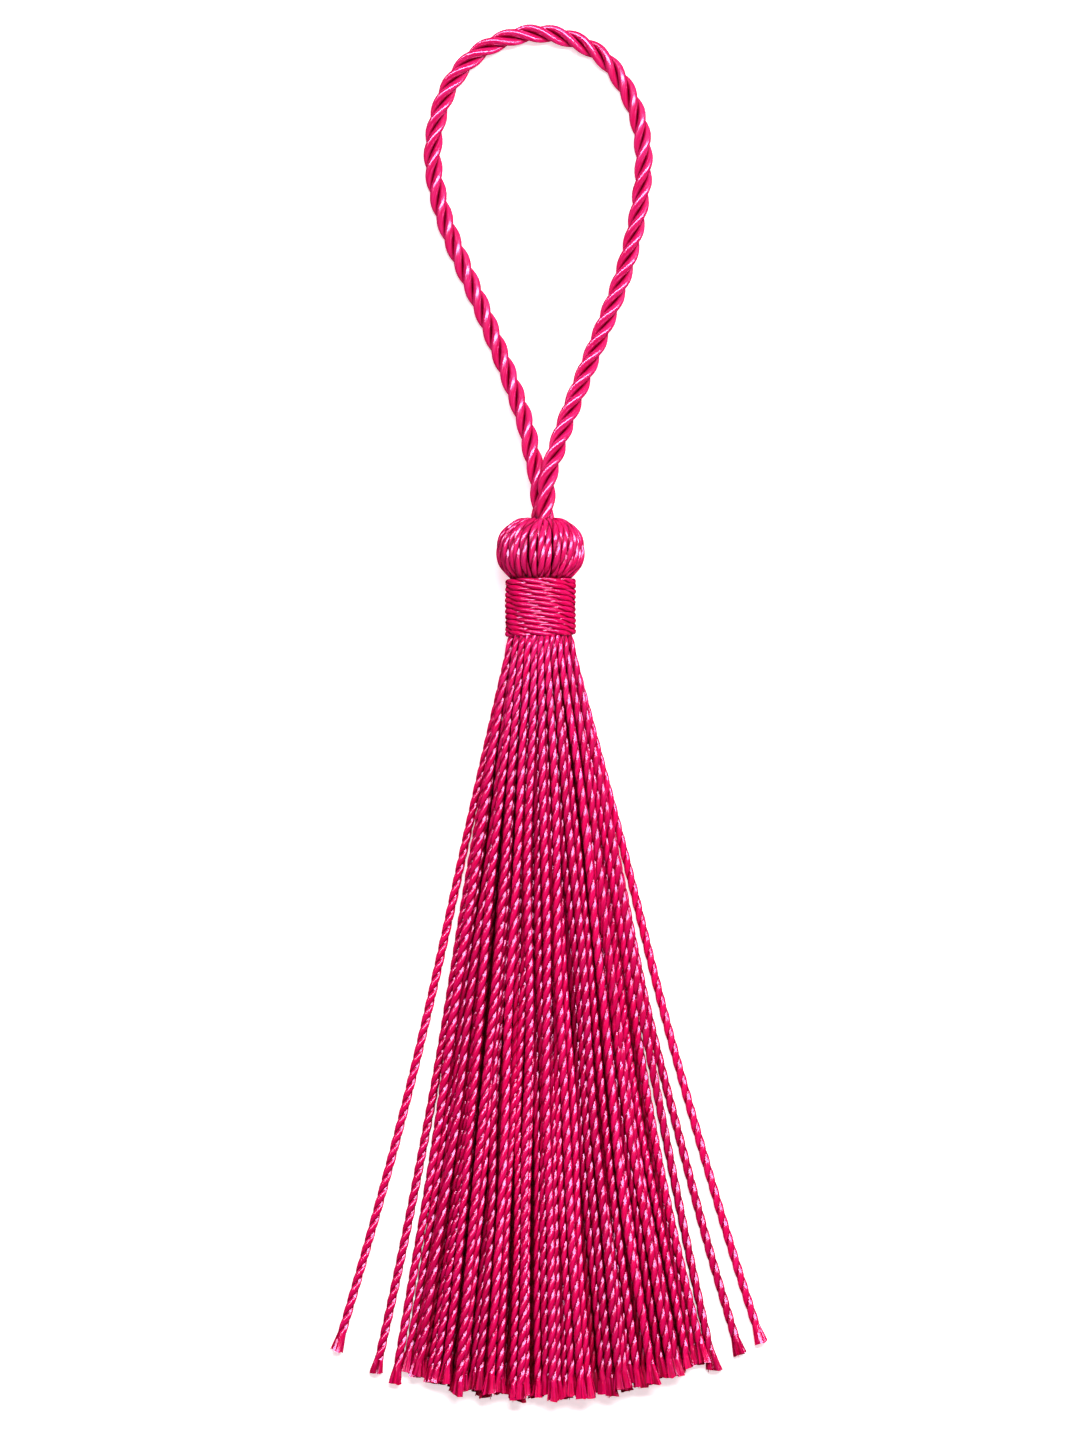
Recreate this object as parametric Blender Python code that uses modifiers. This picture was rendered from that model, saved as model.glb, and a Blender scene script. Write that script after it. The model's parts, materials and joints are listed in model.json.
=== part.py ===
"""Silk tassel with a hanging loop, lying on its side as it does when it is laid on a table.

Metres, +Z up. +Y runs from the hem towards the loop and +X is to the right seen from above. The
tassel rests on z = 0, and the origin is under the middle of the head and skirt taken together.
"""

import math
from typing import NamedTuple

import bmesh
import bpy
from mathutils import Matrix, Vector

MM = 0.001
SEAT_GAP = 0.3 * MM  # left between two pieces that touch
MERGE = 0.01 * MM
SHARP_ANGLE = math.radians(40)

# Head and skirt: one hank of twisted silk, folded over the loop and tied
AXIS_X = -1.43 * MM
AXIS_Z = 6.45 * MM  # a little under the bulb's radius, which leaves a small flat spot under it
HEAD_TOP_Y = 73.67 * MM
RIBS = 40  # strands that show round the bulb
POINTS_PER_RIB = 2
CORE_RADIUS = 4.55 * MM

# Binding: one twisted yarn wound round the neck
BINDING_TOP_DEPTH = 10.0 * MM  # below the top of the head
BINDING_LENGTH = 9.83 * MM
BINDING_TURNS = 10
BINDING_CREST_RADIUS = 5.83 * MM
BINDING_GROOVE_RADIUS = 5.55 * MM
BINDING_SIDES = 28
CREST_SHARES = (0.28, 0.72)  # of one turn, where its rounded top starts and ends

# Strands of the skirt: columns side by side, each a stack of strands that comes down to the floor
COLLAR_RADIUS = 5.95 * MM
COLLAR_DEPTH = 22.0 * MM
ROOT_CIRCLE = 5.0 * MM  # the strands' middles lie inside this circle where they leave the neck
ROOT_COLUMN_PITCH = 0.45 * MM
ROOT_LAYER_PITCH = 2.0 * MM
ROOT_WIDTH = 0.72 * MM
OUTER_COLUMN = 10  # columns are counted both ways from the middle one
HEM_COLUMN_PITCH = 2.7 * MM
HEM_LAYER_PITCH = 0.8 * MM
HALFWAY_LAYER_PITCH = 1.14 * MM  # before the strands have room to bed between one another
BEDDING_FROM = 0.84  # share of the length where they start to bed
HEM_MIDDLE_X = 1.1 * MM
STRAND_WIDTH = 1.08 * MM
CUT_END_FLARE = 1.15
LOOSE_END_FLARE = 1.7
FLARE_FROM = 0.96  # share of the strand's length where its cut end starts to open
HEM_LOWEST_Y = -73.42 * MM
HEM_RADIUS = 69.4 * MM  # of the arc that the cut ends lie on
HEM_UNEVENNESS = 0.7 * MM
BELL = 0.03  # how much sooner than a straight line the skirt opens under the tie
FALL = 11.5 * MM
FALL_POWER = 1.1
LANDING = 0.6 * MM  # height over which a falling strand levels out
# Shares of a strand's length where it has a ring of points. The first is inside the collar.
SECTIONS = (-0.007, 0.05, 0.12, 0.22, 0.34, 0.49, 0.66, 0.84, 0.965, 1.0)
GOLDEN_SHARE = 0.618034

# Hanging loop: a cord of three plies
CORD_RADIUS = 1.5 * MM
CORD_PLIES = 3
POINTS_PER_PLY = 3
CORD_GROOVE = 0.24  # depth of the groove between plies, as a share of the radius
PLY_PITCH = 11.7 * MM  # length of one whole turn of a ply
RING_SPACING = 1.25 * MM
STEPS_PER_SPAN = 20  # fine points between two points of the route

SILK = (0.80, 0.012, 0.125)
SILK_SHADE = (0.66, 0.008, 0.095)
SILK_ROUGHNESS = 0.36


class HeadRow(NamedTuple):
    """One ring of the turned head: its depth below the top, its radius, and how deep its ribs are."""

    depth: float
    radius: float
    relief: float


HEAD_ROWS = (
    HeadRow(0.0 * MM, 3.40 * MM, 0.00 * MM),
    HeadRow(0.5 * MM, 4.80 * MM, 0.22 * MM),
    HeadRow(1.5 * MM, 5.95 * MM, 0.34 * MM),
    HeadRow(3.1 * MM, 6.78 * MM, 0.38 * MM),
    HeadRow(5.2 * MM, 7.10 * MM, 0.40 * MM),
    HeadRow(7.2 * MM, 7.00 * MM, 0.40 * MM),
    HeadRow(8.7 * MM, 6.60 * MM, 0.38 * MM),
    HeadRow(9.4 * MM, 5.90 * MM, 0.25 * MM),
    HeadRow(BINDING_TOP_DEPTH - SEAT_GAP, CORE_RADIUS, 0.0),
    HeadRow(BINDING_TOP_DEPTH + BINDING_LENGTH + SEAT_GAP, CORE_RADIUS, 0.0),
    HeadRow(BINDING_TOP_DEPTH + BINDING_LENGTH + 2 * SEAT_GAP, 5.60 * MM, 0.15 * MM),
    HeadRow(COLLAR_DEPTH, COLLAR_RADIUS, 0.18 * MM),
)


class LooseEnd(NamedTuple):
    """A strand that lies apart beside the skirt: where its cut end is, and how late it turns outwards."""

    x: float
    y: float
    lag: float


# The lowest strand of an outer column lies farthest out.
LOOSE_LEFT = (
    LooseEnd(-35.55 * MM, -65.2 * MM, 0.02),
    LooseEnd(-28.9 * MM, -69.0 * MM, 0.02),
    LooseEnd(-25.7 * MM, -70.6 * MM, 0.00),
)
LOOSE_RIGHT = (
    LooseEnd(35.55 * MM, -63.8 * MM, 0.03),
    LooseEnd(31.9 * MM, -65.9 * MM, 0.05),
    LooseEnd(28.2 * MM, -68.5 * MM, 0.00),
)

# The cord's course in millimetres, out of the head under itself, round the loop and back in on top
LOOP_ROUTE = (
    (-1.50, 73.97, 4.90),
    (-1.60, 76.70, 4.80),
    (-2.00, 80.50, 4.45),
    (-2.80, 83.90, 4.00),
    (-3.80, 88.70, 3.20),
    (-6.00, 95.30, 2.30),
    (-8.50, 101.80, 1.72),
    (-11.20, 108.50, 1.53),
    (-14.20, 115.30, 1.52),
    (-16.50, 120.80, 1.52),
    (-18.40, 126.90, 1.52),
    (-19.35, 133.50, 1.52),
    (-18.60, 139.90, 1.52),
    (-16.20, 146.00, 1.52),
    (-11.90, 150.90, 1.52),
    (-6.30, 153.60, 1.52),
    (-0.90, 154.20, 1.52),
    (4.50, 152.95, 1.52),
    (9.20, 150.00, 1.52),
    (12.70, 145.20, 1.52),
    (15.00, 139.40, 1.52),
    (15.75, 133.20, 1.52),
    (15.20, 126.60, 1.52),
    (13.70, 119.00, 1.52),
    (11.60, 112.00, 1.56),
    (8.90, 104.90, 2.10),
    (6.30, 98.40, 3.10),
    (3.60, 91.60, 4.70),
    (2.00, 87.20, 5.90),
    (0.90, 83.80, 6.90),
    (-0.10, 80.50, 7.70),
    (-0.50, 76.70, 8.15),
    (-0.65, 73.97, 8.20),
)


def clear_scene():
    for old in list(bpy.data.objects):
        bpy.data.objects.remove(old, do_unlink=True)


def new_collection(name):
    collection = bpy.data.collections.new(name)
    bpy.context.scene.collection.children.link(collection)
    return collection


def silk_material(name, colour):
    """Dyed silk with a soft gloss."""
    material = bpy.data.materials.new(name)
    material.use_nodes = True
    shader = material.node_tree.nodes["Principled BSDF"]
    shader.inputs["Base Color"].default_value = (*colour, 1.0)
    shader.inputs["Roughness"].default_value = SILK_ROUGHNESS
    shader.inputs["Metallic"].default_value = 0.0
    material.diffuse_color = (*colour, 1.0)
    return material


def add_object(name, data, collection, material=None):
    created = bpy.data.objects.new(name, data)
    collection.objects.link(created)
    if material is not None:
        data.materials.append(material)
    return created


def as_guide(helper):
    """Keeps a helper out of the finished part."""
    helper.hide_render = True
    helper.display_type = "WIRE"


def smooth(share):
    """A rise from 0 to 1 that starts and ends level."""
    share = min(1.0, max(0.0, share))
    return share * share * (3 - 2 * share)


def turned_mesh(name, outline, sides, guides):
    """A closed mesh turned from an outline of (radius, height) pairs, which runs down its outer side."""
    profile = bpy.data.meshes.new(name + "_outline")
    profile.from_pydata(
        [(radius, 0.0, height) for radius, height in outline],
        [(i, i + 1) for i in range(len(outline) - 1)],
        [],
    )
    lathe = add_object(name + "_lathe", profile, guides)
    screw = lathe.modifiers.new("turn", "SCREW")
    screw.axis = "Z"
    screw.angle = 2 * math.pi
    screw.steps = sides
    screw.render_steps = sides
    screw.use_merge_vertices = True
    screw.merge_threshold = MERGE
    graph = bpy.context.evaluated_depsgraph_get()
    mesh = bpy.data.meshes.new_from_object(lathe.evaluated_get(graph))
    bpy.data.objects.remove(lathe)
    bpy.data.meshes.remove(profile)
    work = bmesh.new()
    work.from_mesh(mesh)
    bmesh.ops.remove_doubles(work, verts=work.verts, dist=MERGE)
    rims = [edge for edge in work.edges if edge.is_boundary]
    bmesh.ops.holes_fill(work, edges=rims, sides=0)
    bmesh.ops.recalc_face_normals(work, faces=work.faces)
    work.to_mesh(mesh)
    work.free()
    mesh.shade_smooth()
    mesh.set_sharp_from_angle(angle=SHARP_ANGLE)
    return mesh


def onto_axis():
    """The placing of a turned piece: its height runs along the head's axis, from the head's top."""
    return Matrix.Translation((AXIS_X, HEAD_TOP_Y, AXIS_Z)) @ Matrix.Rotation(-math.pi / 2, 4, "X")


def head_mesh(guides):
    """The bulb, the neck inside the binding and the collar under it, ribbed by the folded strands."""
    outline = [(row.radius, -row.depth) for row in HEAD_ROWS]
    mesh = turned_mesh("head", outline, RIBS * POINTS_PER_RIB, guides)
    step = 2 * math.pi / (RIBS * POINTS_PER_RIB)
    for point in mesh.vertices:
        row = min(HEAD_ROWS, key=lambda each: abs(each.depth + point.co.z))
        turn = round(math.atan2(point.co.y, point.co.x) / step)
        if turn % POINTS_PER_RIB:
            point.co.x *= 1 - row.relief / row.radius
            point.co.y *= 1 - row.relief / row.radius
    mesh.transform(onto_axis())
    for point in mesh.vertices:
        point.co.z = max(point.co.z, 0.0)
    return mesh


def column_heights(column):
    """Heights of one column's strands over the head's axis at the root, from the lowest up."""
    half_chord = math.sqrt(ROOT_CIRCLE**2 - (column * ROOT_COLUMN_PITCH) ** 2)
    stagger = ROOT_LAYER_PITCH / 2 if column % 2 else 0.0
    most = math.ceil(half_chord / ROOT_LAYER_PITCH) + 1
    heights = [stagger + layer * ROOT_LAYER_PITCH for layer in range(-most, most)]
    return [height for height in heights if abs(height) <= half_chord]


class Strand(NamedTuple):
    """Both ends of one strand's middle line, and how it goes from one to the other."""

    root_x: float
    root_z: float
    hem_x: float
    hem_y: float
    hem_layer: int
    lag: float
    flare: float


def strand_list():
    strands = []
    for column in range(-OUTER_COLUMN, OUTER_COLUMN + 1):
        root_x = AXIS_X + column * ROOT_COLUMN_PITCH
        for layer, height in enumerate(column_heights(column)):
            root_z = AXIS_Z + height
            if abs(column) == OUTER_COLUMN:
                end = (LOOSE_LEFT if column < 0 else LOOSE_RIGHT)[layer]
                strands.append(Strand(root_x, root_z, end.x, end.y, 0, end.lag, LOOSE_END_FLARE))
                continue
            brick_shift = HEM_COLUMN_PITCH / 4 if layer % 2 else -HEM_COLUMN_PITCH / 4
            hem_x = HEM_MIDDLE_X + column * HEM_COLUMN_PITCH + brick_shift
            uneven = (len(strands) * GOLDEN_SHARE) % 1.0
            arc = (hem_x - AXIS_X) ** 2 / (2 * HEM_RADIUS)
            hem_y = HEM_LOWEST_Y + arc + (uneven - 0.5) * HEM_UNEVENNESS
            strands.append(Strand(root_x, root_z, hem_x, hem_y, layer, 0.0, CUT_END_FLARE))
    return strands


def landed(height):
    """Height above a strand's resting place once it has been let down by the fall so far."""
    if height > LANDING:
        return height
    if height < -LANDING:
        return 0.0
    return (height + LANDING) ** 2 / (4 * LANDING)


def strand_section(strand, share):
    """Middle x, y, underside and side of the strand's square section, a share of the way down it."""
    share_down = max(0.0, share)  # inside the collar a strand runs straight
    spread = share_down + BELL * math.sin(2 * math.pi * share_down)
    spread -= strand.lag * math.sin(math.pi * share_down)
    side = ROOT_WIDTH + (STRAND_WIDTH - ROOT_WIDTH) * smooth(share)
    side *= 1 + (strand.flare - 1) * smooth((share - FLARE_FROM) / (1 - FLARE_FROM))
    bedded = smooth((share - BEDDING_FROM) / (1 - BEDDING_FROM))
    layer_pitch = HALFWAY_LAYER_PITCH + (HEM_LAYER_PITCH - HALFWAY_LAYER_PITCH) * bedded
    resting = strand.hem_layer * layer_pitch
    fallen = FALL * share_down**FALL_POWER
    underside = resting + landed(strand.root_z - ROOT_WIDTH / 2 - resting - fallen)
    exit_y = HEAD_TOP_Y - COLLAR_DEPTH
    x = strand.root_x + (strand.hem_x - strand.root_x) * spread
    y = exit_y + (strand.hem_y - exit_y) * share
    return x, y, underside, side


def straight_bar():
    """A unit bar along Y with one ring of points for each section of a strand."""
    bar = bmesh.new()
    bmesh.ops.create_cube(bar, size=1.0)
    lengthwise = [edge for edge in bar.edges if abs(edge.verts[0].co.y - edge.verts[1].co.y) > 0.5]
    bmesh.ops.subdivide_edges(bar, edges=lengthwise, cuts=len(SECTIONS) - 2, use_grid_fill=True)
    mesh = bpy.data.meshes.new("strand_bar")
    bar.to_mesh(mesh)
    bar.free()
    return mesh


def strands_mesh():
    """All strands of the skirt, each a bar laid along its own course."""
    bar = straight_bar()
    skirt = bmesh.new()
    for strand in strand_list():
        laid = bar.copy()
        for point in laid.vertices:
            section = round((0.5 - point.co.y) * (len(SECTIONS) - 1))
            x, y, underside, side = strand_section(strand, SECTIONS[section])
            point.co = (x + point.co.x * side, y, underside + (point.co.z + 0.5) * side)
        skirt.from_mesh(laid)
        bpy.data.meshes.remove(laid)
    bpy.data.meshes.remove(bar)
    mesh = bpy.data.meshes.new("skirt_strands")
    skirt.to_mesh(mesh)
    skirt.free()
    return mesh


def build_head_and_skirt(parts, guides):
    """The hank: the strands stand apart, and their roots are fused into the collar of the head."""
    head = add_object("head_and_skirt", head_mesh(guides), parts, silk_material("skirt_silk", SILK))
    strands = add_object("skirt_strands", strands_mesh(), guides)
    as_guide(strands)
    union = head.modifiers.new("fuse roots", "BOOLEAN")
    union.operation = "UNION"
    union.solver = "EXACT"
    union.object = strands
    return head


def build_binding(parts, guides):
    """A ring round the neck with one rounded rib for each turn of the yarn."""
    turn = BINDING_LENGTH / BINDING_TURNS
    inner = CORE_RADIUS + SEAT_GAP
    top = -BINDING_TOP_DEPTH
    outline = [(inner, top)]
    for each in range(BINDING_TURNS):
        start = top - each * turn
        outline.append((BINDING_GROOVE_RADIUS, start))
        outline += [(BINDING_CREST_RADIUS, start - share * turn) for share in CREST_SHARES]
    outline.append((BINDING_GROOVE_RADIUS, top - BINDING_LENGTH))
    outline.append((inner, top - BINDING_LENGTH))
    outline.append((inner, top))
    mesh = turned_mesh("binding", outline, BINDING_SIDES, guides)
    mesh.transform(onto_axis())
    return add_object("neck_binding", mesh, parts, silk_material("binding_silk", SILK_SHADE))


def route_point(before, start, end, after, share):
    """A point of the smooth curve through the route, between its points start and end."""
    return 0.5 * (
        2 * start
        + (end - before) * share
        + (2 * before - 5 * start + 4 * end - after) * share**2
        + (3 * start - before - 3 * end + after) * share**3
    )


def cord_centres():
    """Points at an even spacing along the smooth curve through the route."""
    route = [Vector(place) * MM for place in LOOP_ROUTE]
    padded = [2 * route[0] - route[1], *route, 2 * route[-1] - route[-2]]
    fine = []
    for i in range(1, len(padded) - 2):
        shares = [step / STEPS_PER_SPAN for step in range(STEPS_PER_SPAN)]
        fine += [route_point(*padded[i - 1 : i + 3], share) for share in shares]
    fine.append(route[-1])
    along = [0.0]
    for start, end in zip(fine, fine[1:]):
        along.append(along[-1] + (end - start).length)
    count = round(along[-1] / RING_SPACING)
    centres = []
    place = 0
    for ring in range(count):
        wanted = along[-1] * ring / count
        while along[place + 1] < wanted:
            place += 1
        share = (wanted - along[place]) / (along[place + 1] - along[place])
        centres.append(fine[place].lerp(fine[place + 1], share))
    return [*centres, fine[-1]]


def ply_section(guides):
    """Guide: the cord's section, with a rounded lobe for each ply."""
    curve = bpy.data.curves.new("ply_section", "CURVE")
    curve.dimensions = "2D"
    sides = CORD_PLIES * POINTS_PER_PLY
    spline = curve.splines.new("POLY")
    spline.points.add(sides - 1)
    for i, point in enumerate(spline.points):
        angle = -2 * math.pi * i / sides
        radius = CORD_RADIUS * (1 - CORD_GROOVE * (1 - math.cos(CORD_PLIES * angle)) / 2)
        point.co = (radius * math.cos(angle), radius * math.sin(angle), 0.0, 1.0)
    spline.use_cyclic_u = True
    section = add_object("ply_section", curve, guides)
    as_guide(section)
    return section


def build_loop(parts, guides):
    """The loop: a three-ply cord that lies on the floor, with both ends going into the head."""
    curve = bpy.data.curves.new("hanging_loop", "CURVE")
    curve.dimensions = "3D"
    curve.twist_mode = "Z_UP"
    curve.use_fill_caps = True
    curve.bevel_mode = "OBJECT"
    curve.bevel_object = ply_section(guides)
    spline = curve.splines.new("POLY")
    centres = cord_centres()
    spline.points.add(len(centres) - 1)
    length = sum((end - start).length for start, end in zip(centres, centres[1:]))
    for i, (point, centre) in enumerate(zip(spline.points, centres)):
        point.co = (*centre, 1.0)
        point.tilt = 2 * math.pi * (length * i / (len(centres) - 1)) / PLY_PITCH
    return add_object("hanging_loop", curve, parts, silk_material("cord_silk", SILK))


def main():
    clear_scene()
    parts = new_collection("silk_tassel")
    guides = new_collection("guides")
    build_head_and_skirt(parts, guides)
    build_binding(parts, guides)
    build_loop(parts, guides)


main()
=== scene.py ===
"""The looks of a silk tassel that lies on its side on a pale table, seen from straight above.

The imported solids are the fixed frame. Each kind of yarn is modelled once, straight and twisted,
and its copies are laid along their courses: the strands of the skirt, the folded strands round the
head, the tie and the cord of the loop. Lengths are in metres where nothing else is said, +Y runs
from the hem towards the loop, and +Z is up from the table.
"""

import json
import logging
import math
import random
from collections.abc import Iterator
from contextlib import contextmanager
from dataclasses import dataclass, replace
from enum import Enum
from typing import NamedTuple

import bpy
import numpy as np
from bpy.types import ID, Material, Mesh, Node, NodeSocket, NodeTree, Object
from mathutils import Matrix, Vector

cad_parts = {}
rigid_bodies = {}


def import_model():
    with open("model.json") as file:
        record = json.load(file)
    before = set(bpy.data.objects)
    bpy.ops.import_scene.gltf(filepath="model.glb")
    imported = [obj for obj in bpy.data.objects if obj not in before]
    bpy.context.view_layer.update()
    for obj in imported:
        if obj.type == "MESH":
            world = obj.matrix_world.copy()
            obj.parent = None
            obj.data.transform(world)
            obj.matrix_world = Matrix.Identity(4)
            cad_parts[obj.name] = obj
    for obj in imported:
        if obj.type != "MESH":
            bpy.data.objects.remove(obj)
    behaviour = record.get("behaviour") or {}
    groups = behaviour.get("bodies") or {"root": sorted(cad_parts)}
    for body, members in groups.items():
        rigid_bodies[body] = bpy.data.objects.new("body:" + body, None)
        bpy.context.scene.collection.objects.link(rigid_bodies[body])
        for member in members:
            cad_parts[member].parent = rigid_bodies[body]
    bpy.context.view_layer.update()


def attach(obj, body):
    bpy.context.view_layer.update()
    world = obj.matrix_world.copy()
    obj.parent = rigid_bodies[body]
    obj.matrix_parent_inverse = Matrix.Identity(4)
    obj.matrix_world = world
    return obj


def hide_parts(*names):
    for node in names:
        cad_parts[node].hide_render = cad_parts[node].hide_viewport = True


SEED = 20
LOG = logging.getLogger("tassel")
MM = 0.001
FULL_TURN = 2 * math.pi
TINY = 0.001 * MM

# The line through the middle of the head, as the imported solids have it.
AXIS_X = -1.43 * MM
AXIS_Z = 6.45 * MM
HEAD_TOP_Y = 73.67 * MM

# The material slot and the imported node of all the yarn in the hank.
HANK = ("skirt_silk", "head_and_skirt")
# Sockets of a Mix node that mixes colours.
MIX_A, MIX_B, MIX_RESULT = 6, 7, 2
ALONG_MAP = "along"  # the UV map whose U goes along a yarn, in millimetres
PATTERN_SHIFT = 2000.0  # millimetres by which the fibres of two copies can differ
STEPS_BETWEEN_STOPS = 20  # of a smooth course, before its points are spaced evenly
SHARP_GROOVE = math.radians(48)  # faces that meet at more than this aren't shaded as one


class Hue(Enum):
    """Colours of the dyed silk and of the room, as sRGB hex codes; some are painted shade, a
    painted sheen and a painted pink bounce, as marked.
    """

    HOT_PINK = "#EA004E"
    LIT_PINK = "#F81A7E"
    ROSE = "#EA0A5C"
    LIT_ROSE = "#FC2C88"
    # Painted shade: colours for the grooves, the crevices, the covered strands, the lowest layer
    # and the packed core.
    DEEP_PINK = "#BE0036"
    CRIMSON = "#7A0010"
    DEEP_CRIMSON = "#480008"
    # Painted sheen on the strands just under the tie.
    SATIN_PINK = "#FF3C9C"
    PALE_PINK = "#FFB2EA"
    WHITE = "#FFFFFF"
    PAPER_WHITE = "#F7F7F7"
    # Painted pink bounce, in the table's glow.
    BLUSH = "#FFEEF3"


def linear(hue: Hue) -> tuple[float, float, float, float]:
    """Turns an sRGB hex code to the linear colour that a shader takes.

    Args:
        hue: the colour.

    Returns:
        Red, green, blue and an alpha of 1.
    """
    shares = [int(hue.value[i : i + 2], 16) / 255 for i in (1, 3, 5)]
    return (*(s / 12.92 if s <= 0.04045 else ((s + 0.055) / 1.055) ** 2.4 for s in shares), 1.0)


def add_node(
    tree: NodeTree,
    kind: str,
    inputs: dict[str | int, object] | None = None,
    **settings: object,
) -> Node:
    """Adds a node with its settings and what goes into it.

    Args:
        tree: the node tree.
        kind: the node's type.
        inputs: a value, or the socket to link from, for each input by its name or number.
        **settings: the node's own properties.

    Returns:
        The node.
    """
    node = tree.nodes.new(kind)
    for name, value in settings.items():
        setattr(node, name, value)
    for name, value in (inputs or {}).items():
        if isinstance(value, NodeSocket):
            tree.links.new(value, node.inputs[name])
        else:
            node.inputs[name].default_value = value
    return node


def new_material(name: str) -> tuple[Material, NodeTree]:
    """Makes a material without any nodes.

    Args:
        name: its name.

    Returns:
        The material and its node tree.
    """
    material = bpy.data.materials.new(name)
    material.use_nodes = True
    material.node_tree.nodes.clear()
    return material, material.node_tree


def smooth(share: float) -> float:
    """Eases from 0 to 1, and stays there outside that range."""
    share = min(1.0, max(0.0, share))
    return share * share * (3 - 2 * share)


def round_axis(radius: float, angle: float, depth: float) -> Vector:
    """The place at a distance from the head's axis, an angle round it and a depth under its top."""
    across, up = radius * math.cos(angle), radius * math.sin(angle)
    return Vector((AXIS_X + across, HEAD_TOP_Y - depth, AXIS_Z + up))


def deselect_all() -> None:
    """Deselects every object, so that the next operator acts on its own piece alone."""
    for each in bpy.context.view_layer.objects:
        each.select_set(False)


def work_on(piece: Object) -> None:
    """Makes one piece the only selected one, and the active one.

    Args:
        piece: the piece.
    """
    deselect_all()
    piece.select_set(True)
    bpy.context.view_layer.objects.active = piece


def just_added(name: str) -> Object:
    """Names the primitive that was added last.

    Args:
        name: its name, and its mesh's.

    Returns:
        The primitive.
    """
    piece = bpy.context.object
    piece.name = piece.data.name = name
    return piece


def added(name: str, data: ID) -> Object:
    """Adds an object to the scene.

    Args:
        name: its name.
        data: the curve, lamp or camera that it shows.

    Returns:
        The object.
    """
    thing = bpy.data.objects.new(name, data)
    bpy.context.scene.collection.objects.link(thing)
    return thing


def copy_of(piece: Object) -> Object:
    """Adds a copy of a piece, with a mesh of its own.

    Args:
        piece: what is copied.

    Returns:
        The copy.
    """
    copy = piece.copy()
    copy.data = piece.data.copy()
    bpy.context.scene.collection.objects.link(copy)
    return copy


def settle(piece: Object) -> None:
    """Moves a primitive's place to its mesh, so that the object is at the origin and unturned."""
    piece.data.transform(piece.matrix_world)
    piece.matrix_world = Matrix.Identity(4)


def apply_modifiers(piece: Object) -> None:
    """Applies a piece's modifiers in their order.

    Args:
        piece: the piece.
    """
    work_on(piece)
    for modifier in list(piece.modifiers):
        bpy.ops.object.modifier_apply(modifier=modifier.name)


def points_of(mesh: Mesh) -> np.ndarray:
    """Reads where a mesh's points are.

    Args:
        mesh: the mesh.

    Returns:
        Their places, one row each.
    """
    places = np.empty(len(mesh.vertices) * 3)
    mesh.vertices.foreach_get("co", places)
    return places.reshape(-1, 3)


def put_points(mesh: Mesh, places: np.ndarray) -> None:
    """Moves a mesh's points to these places."""
    mesh.vertices.foreach_set("co", places.ravel())
    mesh.update()


@contextmanager
def editing(piece: Object, chosen: np.ndarray) -> Iterator[None]:
    """Keeps one piece in edit mode, with the chosen points and what lies between them selected.

    Args:
        piece: a mesh object in object mode.
        chosen: one truth value for each point.

    Yields:
        Nothing.
    """
    work_on(piece)
    mesh = piece.data
    mesh.vertices.foreach_set("select", chosen)
    for edge in mesh.edges:
        edge.select = bool(chosen[edge.vertices[0]] and chosen[edge.vertices[1]])
    for face in mesh.polygons:
        face.select = bool(all(chosen[i] for i in face.vertices))
    bpy.ops.object.mode_set(mode="EDIT")
    yield
    bpy.ops.object.mode_set(mode="OBJECT")


def write_values(mesh: Mesh, name: str, values: np.ndarray) -> None:
    """Keeps a number or a vector for each point of a mesh, for its material to read.

    Args:
        mesh: the mesh.
        name: the attribute's name.
        values: one row or one number for each point.
    """
    kind, field_name = ("FLOAT_VECTOR", "vector") if values.ndim == 2 else ("FLOAT", "value")
    attribute = mesh.attributes.get(name) or mesh.attributes.new(name, kind, "POINT")
    attribute.data.foreach_set(field_name, values.astype(np.float32).ravel())


def read_vectors(mesh: Mesh, name: str) -> np.ndarray:
    """Reads the vectors that a mesh keeps for its points.

    Args:
        mesh: the mesh.
        name: the attribute's name.

    Returns:
        The vectors, one row each.
    """
    values = np.empty(len(mesh.vertices) * 3, np.float32)
    mesh.attributes[name].data.foreach_get("vector", values)
    return values.reshape(-1, 3)


def joined(pieces: list[Object], name: str) -> Object:
    """Joins pieces to one object with its place in its mesh.

    Args:
        pieces: mesh objects, all at the origin.
        name: the new name.

    Returns:
        The joined object.
    """
    work_on(pieces[0])
    for piece in pieces:
        piece.select_set(True)
    if len(pieces) > 1:
        bpy.ops.object.join()
    whole = bpy.context.view_layer.objects.active
    whole.name = whole.data.name = name
    return whole


def remove(piece: Object) -> None:
    """Deletes a helper and its data.

    Args:
        piece: a mesh or a curve that was only needed for a while.
    """
    data, curve = piece.data, piece.type == "CURVE"
    bpy.data.objects.remove(piece)
    (bpy.data.curves if curve else bpy.data.meshes).remove(data)


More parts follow.
